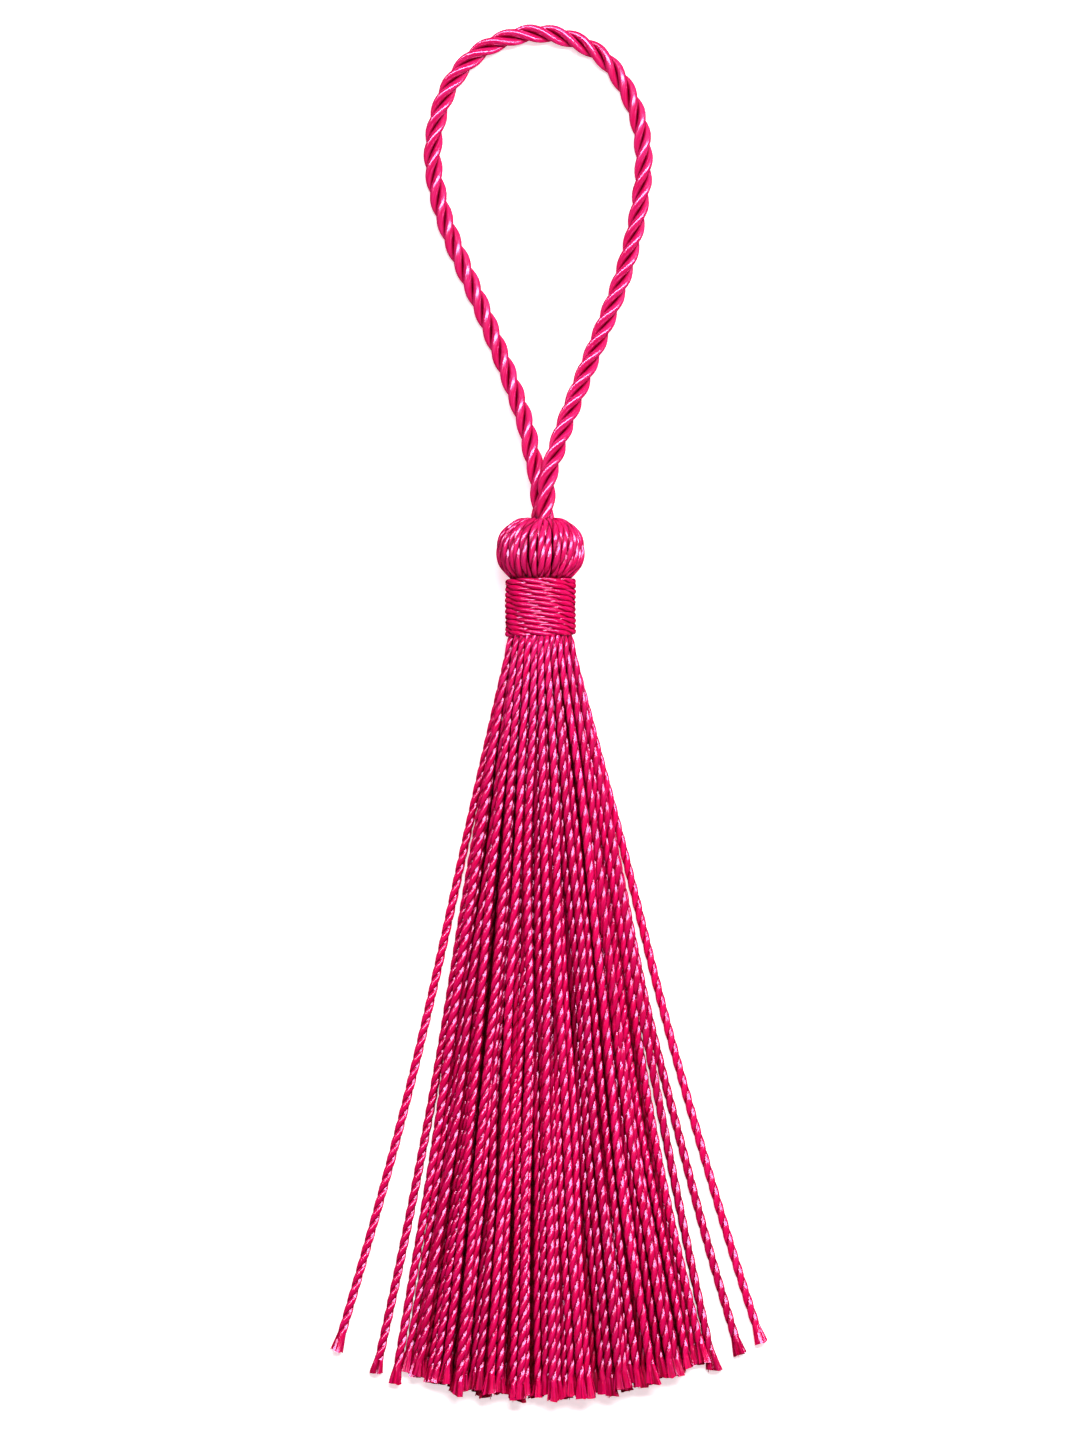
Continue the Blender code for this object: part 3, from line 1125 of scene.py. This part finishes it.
@dataclass
class Head:
    """The round head: strands folded over the loop's ends and tied, round a packed core."""

    rng: random.Random  # the source of chance, the same for all parts
    ribs: int = 32
    yarn: Yarn = Yarn(
        width=1.31 * MM,
        plies=2,
        turn=7.4 * MM,
        section=(1.0, 0.985, 0.95, 0.89, 0.7),
        rings=18,
    )
    turns: int = 2
    spacing: float = 0.5 * MM
    lowest_gap: float = 0.02 * MM
    # In millimetres. Every second strand comes up further out, from between its neighbours.
    inner_start: tuple[RibStop, ...] = (
        RibStop(2.2, 1.5, 0.5),
        RibStop(0.95, 1.75, 0.6),
        RibStop(0.7, 2.55, 0.72),
        RibStop(0.85, 3.5, 0.85),
    )
    outer_start: tuple[RibStop, ...] = (
        RibStop(2.4, 2.3, 0.6),
        RibStop(1.25, 2.7, 0.7),
        RibStop(1.1, 3.45, 0.8),
    )
    over_the_bulb: tuple[RibStop, ...] = (
        RibStop(1.45, 4.55, 0.92),
        RibStop(2.4, 5.7, 1.0),
        RibStop(3.6, 6.48, 1.0),
        RibStop(5.2, 6.79, 1.0),
        RibStop(7.0, 6.69, 1.0),
        RibStop(8.4, 6.15, 0.95),
        RibStop(9.4, 5.2, 0.9),
        RibStop(10.2, 4.4, 0.8),
        RibStop(11.2, 4.1, 0.75),
    )
    uneven: float = 0.16  # of the space between two strands
    lean: float = 0.05  # by which a strand is turned round the axis where it comes up, in radians
    swell: tuple[float, float] = (-0.16, 0.12)  # millimetres, of single strands over the bulb
    bulb_from: float = 4.4  # millimetres from the axis, where the bulb starts
    bulb_over: float = 2.0  # further out, where a strand has all of its swell
    core_radius: float = 5.75 * MM
    core_half_length: float = 4.6 * MM
    core_depth: float = 5.3 * MM
    neck_radius: float = 4.75 * MM
    neck_from: float = 7.0 * MM
    neck_to: float = 23.0 * MM
    neck_rounding: float = 1.2 * MM
    core_edge: float = math.radians(40)

    def rib_course(self, angle: float, stops: tuple[RibStop, ...]) -> Course:
        """The middle line of one folded strand.

        Args:
            angle: where it stands round the head.
            stops: its stops from the top of the head to the tie.

        Returns:
            The course, kept above the table.
        """
        lean = self.rng.uniform(-self.lean, self.lean)
        swell = self.rng.uniform(*self.swell)
        places = []
        for stop in stops:
            bulging = smooth((stop.radius - self.bulb_from) / self.bulb_over)
            radius = (stop.radius + swell * bulging) * MM
            turned = angle + lean * (1 - bulging)
            lowest = stop.fullness * self.yarn.width / 2 + self.lowest_gap
            place = round_axis(radius, turned, stop.depth * MM)
            place.z = max(lowest, place.z)
            places.append((place, stop.fullness))
        return Course.through(places, self.spacing)

    def build_ribs(self) -> None:
        """Lays the folded strands side by side round the head."""
        straight = self.yarn.whole("straight_rib", self.turns)
        laid = []
        for rib in range(self.ribs):
            start = self.outer_start if rib % 2 else self.inner_start
            uneven = self.rng.uniform(-self.uneven, self.uneven)
            angle = FULL_TURN * (rib + uneven) / self.ribs
            course = self.rib_course(angle, start + self.over_the_bulb)
            laid.append(lay_copy(straight, course, self.rng, self.rng.uniform(-1, 1)))
        remove(straight)
        dress(joined(laid, "head_folded_strands"), FOLDED_SILK.material(), *HANK)

    def build_core(self) -> None:
        """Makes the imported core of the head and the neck."""
        deselect_all()
        bpy.ops.mesh.primitive_uv_sphere_add(
            segments=48,
            ring_count=24,
            radius=self.core_radius,
            location=(AXIS_X, HEAD_TOP_Y - self.core_depth, AXIS_Z),
            scale=(1, self.core_half_length / self.core_radius, 1),
        )
        bulb = just_added("packed_bulb")
        deselect_all()
        bpy.ops.mesh.primitive_cylinder_add(
            vertices=48,
            radius=self.neck_radius,
            depth=self.neck_to - self.neck_from,
            location=(AXIS_X, HEAD_TOP_Y - (self.neck_from + self.neck_to) / 2, AXIS_Z),
            rotation=(math.pi / 2, 0, 0),
        )
        neck = just_added("packed_neck")
        settle(bulb)
        settle(neck)
        bevel = neck.modifiers.new("rounded ends", "BEVEL")
        bevel.width = self.neck_rounding
        bevel.segments = 3
        apply_modifiers(neck)
        union = bulb.modifiers.new("one core", "BOOLEAN")
        union.operation = "UNION"
        union.solver = "EXACT"
        union.object = neck
        apply_modifiers(bulb)
        remove(neck)
        core = joined([bulb], "head_core")
        bpy.ops.object.shade_smooth_by_angle(angle=self.core_edge)
        dress(core, PackedSilk().material(), *HANK)


@dataclass
class NeckBinding:
    """The tie: one yarn wound round the neck, with both ends tucked under."""

    rng: random.Random  # the source of chance, the same for all parts
    yarn: Yarn = Yarn(
        width=1.14 * MM,
        plies=2,
        turn=7.5 * MM,
        section=(1.0, 0.985, 0.94, 0.87, 0.7),
        rings=14,
    )
    top_depth: float = 10.35 * MM
    length: float = 9.48 * MM
    winds: int = 10
    crest_radius: float = 6.02 * MM  # before the yarn is pressed flat
    pressed_from: float = 5.6 * MM
    pressed_share: float = 0.8
    tucked_radius: float = 4.6 * MM
    flat_winds: float = 0.55  # of the first and the last wind, before the yarn starts to climb
    tucked_winds: float = 0.25  # in which an end comes out from under the others
    uneven: float = 0.05  # of the pitch
    steps: int = 28  # points of the course in one wind

    def course(self) -> Course:
        """The middle line of the tie, from the head down.

        Returns:
            The course.
        """
        pitch = self.length / self.winds
        climbing = self.winds - 1
        total = climbing + 2 * self.flat_winds
        outer = self.crest_radius - self.yarn.width / 2
        slip = self.uneven
        uneven = [self.rng.uniform(-slip, slip) * pitch for _ in range(self.winds + 2)]
        points = []
        for step in range(round(total * self.steps) + 1):
            wound = step / self.steps
            climbed = min(max(wound - self.flat_winds, 0.0), climbing)
            wind = int(wound)
            slack = uneven[wind] + (uneven[wind + 1] - uneven[wind]) * smooth(wound - wind)
            from_end = min(wound, total - wound)
            out = smooth(from_end / self.tucked_winds)
            radius = self.tucked_radius + (outer - self.tucked_radius) * out
            angle = FULL_TURN * wound - math.pi / 2
            depth = self.top_depth + pitch * (climbed + 0.5) + slack
            points.append(round_axis(radius, angle, depth))
        return Course(points, [1.0] * len(points))

    def press(self, tie: Object) -> None:
        """Flattens the crests of the winds, as the tension of the yarn does.

        Args:
            tie: the wound tie.
        """
        places = points_of(tie.data)
        across, up = places[:, 0] - AXIS_X, places[:, 2] - AXIS_Z
        radius = np.hypot(across, up)
        over = np.maximum(radius - self.pressed_from, 0.0)
        kept = self.pressed_from + over * self.pressed_share
        share = np.where(over > 0, kept / radius, 1.0)
        places[:, 0] = AXIS_X + across * share
        places[:, 2] = AXIS_Z + up * share
        put_points(tie.data, places)

    def build(self) -> None:
        """Winds the tie."""
        course = self.course()
        length = sum((b - a).length for a, b in zip(course.points, course.points[1:]))
        straight = self.yarn.whole("straight_tie", round(length / self.yarn.turn))
        tie = joined([lay_copy(straight, course, self.rng)], "neck_tie")
        remove(straight)
        self.press(tie)
        dress(tie, TIE_SILK.material(), "binding_silk", "neck_binding")


@dataclass(frozen=True)
class CutEnd:
    """The cut end of a strand, where the plies untwist and their fibres fan out.

    Attributes:
        length: of the opened end.
        flare: its width at the cut, over the yarn's own.
        steps: rings of points along it.
        tilt: how slanted the cut can be, in radians.
        jagged: how far the cut's points can be from where the cut is.
        jagged_evenly: share of that which is the same for all its points.
        hollow: how far the cut is drawn in.
        mouth: width of the hollow's floor, over the cut's.
        flute: how far every second point round the fan is drawn in, so it shows its fibres.
        fluted_from: where that starts, over the opened length.
        bristles: loose bundles of fibres that stand out of the cut.
        bristle_uneven: how far they are out of place, over the space between two.
        bristle_spread: how far from the middle they stand, over half the yarn's width.
        bristle_lean: over the fan's own slope.
        bristle_length: over the fan's.
    """

    length: float = 3.0 * MM
    flare: float = 1.6
    steps: int = 5
    tilt: float = 0.25
    jagged: float = 0.16 * MM
    jagged_evenly: float = 0.6
    hollow: float = 0.25 * MM
    mouth: float = 0.6
    flute: float = 0.82
    fluted_from: float = 0.25
    bristles: int = 12
    bristle_uneven: float = 0.4
    bristle_spread: tuple[float, float] = (0.45, 0.85)
    bristle_lean: tuple[float, float] = (0.9, 1.5)
    bristle_length: tuple[float, float] = (0.92, 1.06)

    def open(self, yarn: Object, height: float, points: int, seed: int) -> None:
        """Opens the yarn's end at a height to a fan, and closes the cut.

        Args:
            yarn: the straight yarn, open at that end.
            height: where its twist ends on Z.
            points: how many the yarn has round it.
            seed: makes each end different.
        """
        rng = random.Random(seed)
        top = height + self.length
        rise = self.length / self.steps
        flares = [1 + (self.flare - 1) * step / self.steps for step in range(self.steps + 1)]
        with editing(yarn, points_of(yarn.data)[:, 2] > height - TINY):
            for step, (before, after) in enumerate(zip(flares, flares[1:]), start=1):
                bpy.ops.mesh.extrude_region_move(TRANSFORM_OT_translate={"value": (0, 0, rise)})
                grown, middle = after / before, (0, 0, height + self.length * step / self.steps)
                bpy.ops.transform.resize(value=(grown, grown, 1), center_override=middle)
            tilt = rng.uniform(-self.tilt, self.tilt)
            bpy.ops.transform.rotate(value=tilt, orient_axis="X", center_override=(0, 0, top))
            bpy.ops.transform.vertex_random(
                offset=self.jagged, uniform=self.jagged_evenly, seed=seed
            )
            down = {"value": (0, 0, -self.hollow)}
            bpy.ops.mesh.extrude_region_move(TRANSFORM_OT_translate=down)
            floor = (self.mouth, self.mouth, 1)
            bpy.ops.transform.resize(value=floor, center_override=(0, 0, top))
            bpy.ops.mesh.merge(type="CENTER")
        places = points_of(yarn.data)
        number = np.rint(np.arctan2(places[:, 0], places[:, 1]) * points / FULL_TURN).astype(int)
        fluted = places[:, 2] > height + self.length * self.fluted_from
        drawn_in = (number % 2 == 1) & fluted
        with editing(yarn, drawn_in):
            flute = (self.flute, self.flute, 1)
            bpy.ops.transform.resize(value=flute, center_override=(0, 0, top))

    def bristle_copies(
        self, bristle: Object, height: float, width: float, seed: int
    ) -> list[Object]:
        """Stands copies of one bristle round the cut, leaning outwards.

        Args:
            bristle: one bundle of fibres along +Z, with its foot at the origin.
            height: where the yarn's twist ends on Z.
            width: of the yarn.
            seed: makes each end different.

        Returns:
            The copies.
        """
        rng = random.Random(seed)
        copies = []
        for number in range(self.bristles):
            uneven = rng.uniform(-self.bristle_uneven, self.bristle_uneven)
            angle = FULL_TURN * (number + uneven) / self.bristles
            out = rng.uniform(*self.bristle_spread) * width / 2
            slope = out * (self.flare - 1) * rng.uniform(*self.bristle_lean)
            lean = math.atan2(slope, self.length)
            place = Matrix.Translation((out * math.cos(angle), out * math.sin(angle), height))
            turned = Matrix.Rotation(angle, 4, "Z") @ Matrix.Rotation(lean, 4, "Y")
            length = self.length * rng.uniform(*self.bristle_length)
            longer = Matrix.Diagonal((1, 1, length, 1))
            copy = copy_of(bristle)
            copy.data.transform(place @ turned @ longer)
            copies.append(copy)
        return copies


class LooseEnd(NamedTuple):
    """Where a loose strand at the side ends, and how far it lags behind a straight line halfway."""

    x: float
    y: float
    lag: float


@dataclass
class Skirt:
    """The skirt: strands that leave the tie, come down to the table and spread to the hem."""

    rng: random.Random  # the source of chance, the same for all parts
    yarn: Yarn = Yarn(
        width=1.4 * MM,
        plies=2,
        turn=5.7 * MM,
        section=(1.0, 0.98, 0.91, 0.74),
        rings=14,
    )
    length: float = 125.4 * MM
    # The same yarn with fewer points, for the lowest layer, which shows only in chinks.
    backing_yarn: Yarn = Yarn(
        width=1.2 * MM,
        plies=2,
        turn=5.7 * MM,
        section=(1.0, 0.97, 0.9),
        rings=8,
    )
    # Each kind of strand is thrown a little tighter or looser, and has its own cut end.
    turns: tuple[int, ...] = (22, 25, 20, 23, 19)
    cut_ends: tuple[CutEnd, ...] = (
        CutEnd(flare=1.75),
        CutEnd(flare=1.55, length=2.4 * MM),
        CutEnd(flare=1.85, length=3.5 * MM),
        CutEnd(flare=1.6, length=3.2 * MM),
        CutEnd(flare=1.7, length=2.7 * MM),
    )
    pieces: tuple[str, ...] = (
        "skirt_left",
        "skirt_mid_left",
        "skirt_middle",
        "skirt_mid_right",
        "skirt_right",
    )
    lower_pieces: tuple[str, ...] = ("skirt_lower_left", "skirt_lower_middle", "skirt_lower_right")
    lit_layers: int = 2  # the upper strands of a column, which the lamp reaches

    outer_column: int = 10
    top_y: float = 55.6 * MM  # inside the tie
    squeeze_from_y: float = 54.4 * MM
    exit_y: float = 51.67 * MM
    root_circle: float = 5.0 * MM
    root_column_pitch: float = 0.45 * MM
    root_layer_pitch: float = 2.0 * MM
    root_fullness: float = 0.85
    packed_circle: float = 5.55 * MM
    packed_by_y: float = 52.3 * MM  # below it the strands have sprung out from under the tie
    packed_column_pitch: float = 1.03 * MM
    squeezed: float = 0.78  # inside the tie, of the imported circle
    hem_middle_x: float = 1.1 * MM
    hem_column_pitch: float = 2.7 * MM
    hem_lowest_y: float = -73.42 * MM
    hem_radius: float = 69.4 * MM
    halfway_layer_pitch: float = 1.14 * MM
    hem_layer_pitch: float = 0.8 * MM
    bedding_from: float = 0.84
    # How far a strand is ahead of a straight line at a quarter of its way, and behind halfway.
    bell: float = 0.03
    loose_bell: float = 0.01
    # A strand that lies by itself isn't pressed, so it is fuller.
    loose_fullness: float = 1.08
    sag: float = 0.02
    fall: float = 11.5 * MM
    fall_power: float = 1.1
    landing: float = 0.6 * MM
    # The lowest strands lie evenly, side by side, and each layer over them less so.
    disorder: tuple[float, float] = (0.25, 0.35)
    wander: float = 0.7 * MM
    loose_wander: float = 0.35 * MM
    waves: tuple[float, float] = (0.9, 2.3)  # of the slow and the quick wander, on the way down
    hem_chance: float = 0.75 * MM
    hem_ragged: tuple[float, float] = (-0.2 * MM, 1.5 * MM)
    full_by: float = 0.4  # of the way, by which a strand has its full width
    backing_width: float = 0.8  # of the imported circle
    backing_depth: float = 0.55  # of its half chord
    backing_ragged: tuple[float, float] = (0.6 * MM, 1.8 * MM)
    bristle_radius: tuple[float, float] = (0.1 * MM, 0.07 * MM)  # at its foot and at its tip
    steps: int = 44
    loose_left: tuple[LooseEnd, ...] = (
        LooseEnd(-35.4, -65.2, 0.04),
        LooseEnd(-28.9, -69.0, 0.035),
        LooseEnd(-25.7, -70.6, 0.01),
    )
    loose_right: tuple[LooseEnd, ...] = (
        LooseEnd(35.4, -63.8, 0.033),
        LooseEnd(31.9, -65.9, 0.055),
        LooseEnd(27.5, -68.5, 0.0),
    )

    def column_heights(self, column: int) -> list[float]:
        """How high one column's strands leave the tie, as in the solids.

        Args:
            column: the column, counted from the middle one.

        Returns:
            Their heights over the axis, from the lowest up.
        """
        half_chord = math.sqrt(self.root_circle**2 - (column * self.root_column_pitch) ** 2)
        stagger = self.root_layer_pitch / 2 if column % 2 else 0.0
        most = math.ceil(half_chord / self.root_layer_pitch) + 1
        heights = [stagger + layer * self.root_layer_pitch for layer in range(-most, most)]
        return [height for height in heights if abs(height) <= half_chord]

    def packed_root(self, column: int, height: float) -> tuple[float, float]:
        """Where a strand leaves the tie when two columns share one stack in the round neck.

        Args:
            column: the strand's column.
            height: its height over the axis in that column.

        Returns:
            Its place across and its height, both from the axis.
        """
        stack = column // 2
        members = [c for c in (2 * stack, 2 * stack + 1) if c <= self.outer_column]
        tallest = max(abs(h) for c in members for h in self.column_heights(c))
        x = stack * self.packed_column_pitch
        return x, height * math.sqrt(self.packed_circle**2 - x**2) / tallest

    def landed(self, height: float) -> float:
        """Lets a strand land softly on its resting place.

        Args:
            height: how high over that place it would be if nothing held it up.

        Returns:
            How high over it the strand is.
        """
        if height > self.landing:
            return height
        if height < -self.landing:
            return 0.0
        return (height + self.landing) ** 2 / (4 * self.landing)

    def strand_course(self, column: int, layer: int, height: float) -> Course:
        """The middle line of one strand, from inside the tie to its cut end.

        Args:
            column: the strand's column, counted from the middle one.
            layer: its layer in that column, from the lowest up.
            height: its height over the axis in the solids.

        Returns:
            The course.
        """
        root_x, root_h = self.packed_root(column, height)
        loose = abs(column) == self.outer_column
        bell, lag = self.bell, self.sag
        resting_layer = layer
        lowest, more = self.disorder
        chance = min(1.0, lowest + more * layer)
        if loose:
            end = (self.loose_left if column < 0 else self.loose_right)[layer]
            hem_x, hem_y, lag, bell = end.x * MM, end.y * MM, end.lag, self.loose_bell
            resting_layer = 0
        else:
            brick = self.hem_column_pitch / 4 * (1 if layer % 2 else -1)
            hem_x = self.hem_middle_x + column * self.hem_column_pitch + brick
            hem_x += self.rng.uniform(-1, 1) * self.hem_chance * chance
            hem_y = self.hem_lowest_y + (hem_x - AXIS_X) ** 2 / (2 * self.hem_radius)
            hem_y += self.rng.uniform(*self.hem_ragged)
        size = self.loose_wander if loose else self.wander * chance
        drift = (
            self.rng.uniform(-1, 1) * size,
            self.rng.uniform(0, FULL_TURN),
            self.rng.uniform(-1, 1) * size / 2,
            self.rng.uniform(0, FULL_TURN),
        )
        course = self.free_course(root_x, root_h, hem_x, hem_y, resting_layer, (bell, lag), drift)
        if loose:
            fuller = [full * self.loose_fullness for full in course.fullness]
            return Course(course.points, fuller)
        return course

    def free_course(
        self,
        root_x: float,
        root_h: float,
        hem_x: float,
        hem_y: float,
        resting_layer: int,
        bow: tuple[float, float],
        drift: tuple[float, float, float, float],
    ) -> Course:
        """A strand's middle line from inside the tie, down to the table and out to the hem.

        Args:
            root_x: where it leaves the tie, across from the axis.
            root_h: where it leaves the tie, over the axis.
            hem_x: where its cut end lies across.
            hem_y: where its cut end lies along.
            resting_layer: how many strands it lies on at the hem.
            bow: how far it is ahead of a straight line at a quarter of the way, and behind halfway.
            drift: size and start of its slow and of its quick sideways wander.

        Returns:
            The course.
        """
        slow, slow_start, quick, quick_start = drift
        bell, lag = bow
        points, fullness = [], []
        for step in range(self.steps + 1):
            y = self.top_y + (hem_y - self.top_y) * step / self.steps
            share = (self.exit_y - y) / (self.exit_y - hem_y)
            full = self.root_fullness + (1 - self.root_fullness) * smooth(share / self.full_by)
            radius = full * self.yarn.width / 2
            if share < 0:
                squeezed_over = self.squeeze_from_y - self.packed_by_y
                opened = smooth((self.squeeze_from_y - y) / squeezed_over)
                held = self.squeezed + (1 - self.squeezed) * opened
                points.append(Vector((AXIS_X + root_x * held, y, AXIS_Z + root_h * held)))
                fullness.append(full)
                continue
            spread = share + bell * math.sin(FULL_TURN * share) - lag * math.sin(math.pi * share)
            bedded = smooth((share - self.bedding_from) / (1 - self.bedding_from))
            pitch = self.halfway_layer_pitch
            pitch += (self.hem_layer_pitch - self.halfway_layer_pitch) * bedded
            resting = resting_layer * pitch
            fallen = self.fall * share**self.fall_power
            underside = resting + self.landed(AXIS_Z + root_h - radius - resting - fallen)
            start_x = AXIS_X + root_x
            wander = slow * math.sin(FULL_TURN * self.waves[0] * share + slow_start)
            wander += quick * math.sin(FULL_TURN * self.waves[1] * share + quick_start)
            x = start_x + (hem_x - start_x) * spread + wander * math.sin(math.pi * share)
            points.append(Vector((x, y, underside + radius)))
            fullness.append(full)
        return Course(points, fullness)

    def backing_course(self, place: float) -> Course:
        """The middle line of a strand of the lowest layer, in the gap between two others.

        Args:
            place: where it lies, in columns from the middle one.

        Returns:
            The course.
        """
        share_out = place / self.outer_column
        root_x = share_out * self.backing_width * self.packed_circle
        root_h = -self.backing_depth * math.sqrt(self.packed_circle**2 - root_x**2)
        hem_x = self.hem_middle_x + place * self.hem_column_pitch
        hem_y = self.hem_lowest_y + (hem_x - AXIS_X) ** 2 / (2 * self.hem_radius)
        hem_y += self.rng.uniform(*self.backing_ragged)
        bow, drift = (self.bell, self.sag), (0.0, 0.0, 0.0, 0.0)
        return self.free_course(root_x, root_h, hem_x, hem_y, 0, bow, drift)

    def straight_strands(self) -> list[Object]:
        """Models one straight strand for each kind of cut end.

        Returns:
            The strands, with the cut end up.
        """
        deselect_all()
        foot, tip = self.bristle_radius
        bpy.ops.mesh.primitive_cone_add(
            vertices=3, radius1=foot, radius2=tip, depth=1.0, location=(0, 0, 0.5)
        )
        bristle = just_added("bristle")
        settle(bristle)
        strands = []
        for seed, (turns, end) in enumerate(zip(self.turns, self.cut_ends)):
            yarn = replace(self.yarn, turn=self.length / turns)
            strand = yarn.twisted(f"straight_strand_{seed}", turns)
            yarn.close(strand, 0.0)
            end.open(strand, self.length, yarn.ring_points(), seed)
            yarn.finish_shading(strand)
            copies = end.bristle_copies(bristle, self.length, yarn.width, seed)
            strand = joined([strand, *copies], f"straight_strand_{seed}")
            yarn.keep_lay(strand, self.length)
            strands.append(strand)
        remove(bristle)
        return strands

    def build_under_layer(self) -> None:
        """Lays the lowest layer, which shows only as a dark ground of painted shade between the
        other strands.
        """
        straight = self.backing_yarn.whole("straight_backing", self.turns[0])
        laid = []
        last = self.outer_column - 1
        for half_columns in range(-2 * last, 2 * last + 1):
            course = self.backing_course(half_columns / 2)
            laid.append(lay_copy(straight, course, self.rng, self.rng.uniform(-1, 1)))
        remove(straight)
        dress(joined(laid, "skirt_under_layer"), UNDER_SILK.material(), *HANK)

    def build(self) -> None:
        """Lays all strands, and joins them to a few pieces from left to right."""
        kinds = self.straight_strands()
        columns = range(-self.outer_column, self.outer_column + 1)
        upper: list[list[Object]] = [[] for _ in self.pieces]
        lower: list[list[Object]] = [[] for _ in self.lower_pieces]
        for place, column in enumerate(columns):
            heights = self.column_heights(column)
            for layer, height in enumerate(heights):
                course = self.strand_course(column, layer, height)
                kind = kinds[self.rng.randrange(len(kinds))]
                strand = lay_copy(kind, course, self.rng, self.rng.uniform(-1, 1))
                loose = abs(column) == self.outer_column
                # Strands under the two upper layers get the copy of the silk with painted shade.
                covered = layer < len(heights) - self.lit_layers and not loose
                groups = lower if covered else upper
                groups[place * len(groups) // len(columns)].append(strand)
        for kind in kinds:
            remove(kind)
        self.build_under_layer()
        for names, groups, finish in (
            (self.pieces, upper, STRAND_SILK),
            (self.lower_pieces, lower, SHADED_SILK),
        ):
            silk = finish.material()
            for name, group in zip(names, groups):
                dress(joined(group, name), silk, *HANK)


@dataclass
class Studio:
    """A white table under soft light, and the camera straight above it."""

    table_side: float = 3.0
    view_middle: tuple[float, float] = (-1.02 * MM, 39.33 * MM)
    view_height: float = 241.3 * MM  # what the picture shows of the table from top to bottom
    camera_above: float = 0.9
    sensor: float = 36.0
    key_place: tuple[float, float, float] = (0.18, 0.36, 0.68)
    key_size: tuple[float, float] = (0.6, 0.2)
    key_power: float = 8.0
    # A long thin strip, left to right over the tassel, draws the gloss out along each ply.
    gloss_place: tuple[float, float, float] = (0.0, 0.5, 0.88)
    gloss_size: tuple[float, float] = (3.2, 0.3)
    gloss_power: float = 74.0
    sky: float = 0.16
    # Painted light: the table glows, as if lit from below, so shadows on it stay faint; the glow is
    # tinted pink, a painted bounce from the silk beside them.
    painted_table_glow: float = 0.68

    def build_table(self) -> None:
        """Lays the white table top."""
        deselect_all()
        bpy.ops.mesh.primitive_plane_add(size=self.table_side)
        table = just_added("table")
        material = bpy.data.materials.new("white_matt_board")
        material.use_nodes = True
        board = material.node_tree.nodes["Principled BSDF"]
        for name, value in {
            "Base Color": linear(Hue.PAPER_WHITE),
            "Roughness": 0.9,
            "Specular IOR Level": 0.1,
            # Painted light: the board glows, tinted pink as a painted bounce from the silk.
            "Emission Color": linear(Hue.BLUSH),
            "Emission Strength": self.painted_table_glow,
        }.items():
            board.inputs[name].default_value = value
        table.data.materials.append(material)
        table.visible_glossy = False  # the board is matt, and throws no haze on the silk

    def add_strip(
        self,
        name: str,
        place: tuple[float, float, float],
        size: tuple[float, float],
        power: float,
    ) -> Object:
        """Hangs a strip lamp beyond the loop, level from left to right and tipped to the tassel.

        Args:
            name: its name.
            place: where it hangs.
            size: of its face.
            power: in watts.

        Returns:
            The lamp.
        """
        light = bpy.data.lights.new(name, "AREA")
        light.shape = "RECTANGLE"
        light.size, light.size_y = size
        light.energy = power
        lamp = added(name, light)
        lamp.location = place
        _, away, above = place
        lamp.rotation_euler.x = -math.atan2(away - self.view_middle[1], above)
        return lamp

    def build_light(self) -> None:
        """Hangs the lamps and lights the room."""
        key = self.add_strip("key_strip", self.key_place, self.key_size, self.key_power)
        key.visible_glossy = False
        gloss = self.add_strip("gloss_strip", self.gloss_place, self.gloss_size, self.gloss_power)
        gloss.visible_diffuse = False
        world = bpy.data.worlds.new("pale_room")
        world.use_nodes = True
        sky = world.node_tree.nodes["Background"]
        sky.inputs["Color"].default_value = linear(Hue.WHITE)
        sky.inputs["Strength"].default_value = self.sky
        world.cycles_visibility.glossy = False  # no haze from the room on the silk
        bpy.context.scene.world = world
        bpy.context.scene.view_settings.view_transform = "Standard"

    def build_camera(self) -> None:
        """Hangs the camera straight above the middle of the view."""
        data = bpy.data.cameras.new("camera")
        data.sensor_width = self.sensor
        data.lens = self.sensor * self.camera_above / self.view_height
        camera = added("camera", data)
        camera.location = (*self.view_middle, self.camera_above)
        bpy.context.scene.camera = camera


def main() -> None:
    """Builds every piece in order."""
    logging.basicConfig(level=logging.INFO, format="%(message)s")
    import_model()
    rng = random.Random(SEED)
    studio = Studio()
    studio.build_camera()
    studio.build_table()
    studio.build_light()
    HangingLoop(rng).build()
    head = Head(rng)
    head.build_core()
    head.build_ribs()
    NeckBinding(rng).build()
    Skirt(rng).build()


if __name__ == "__main__":
    main()
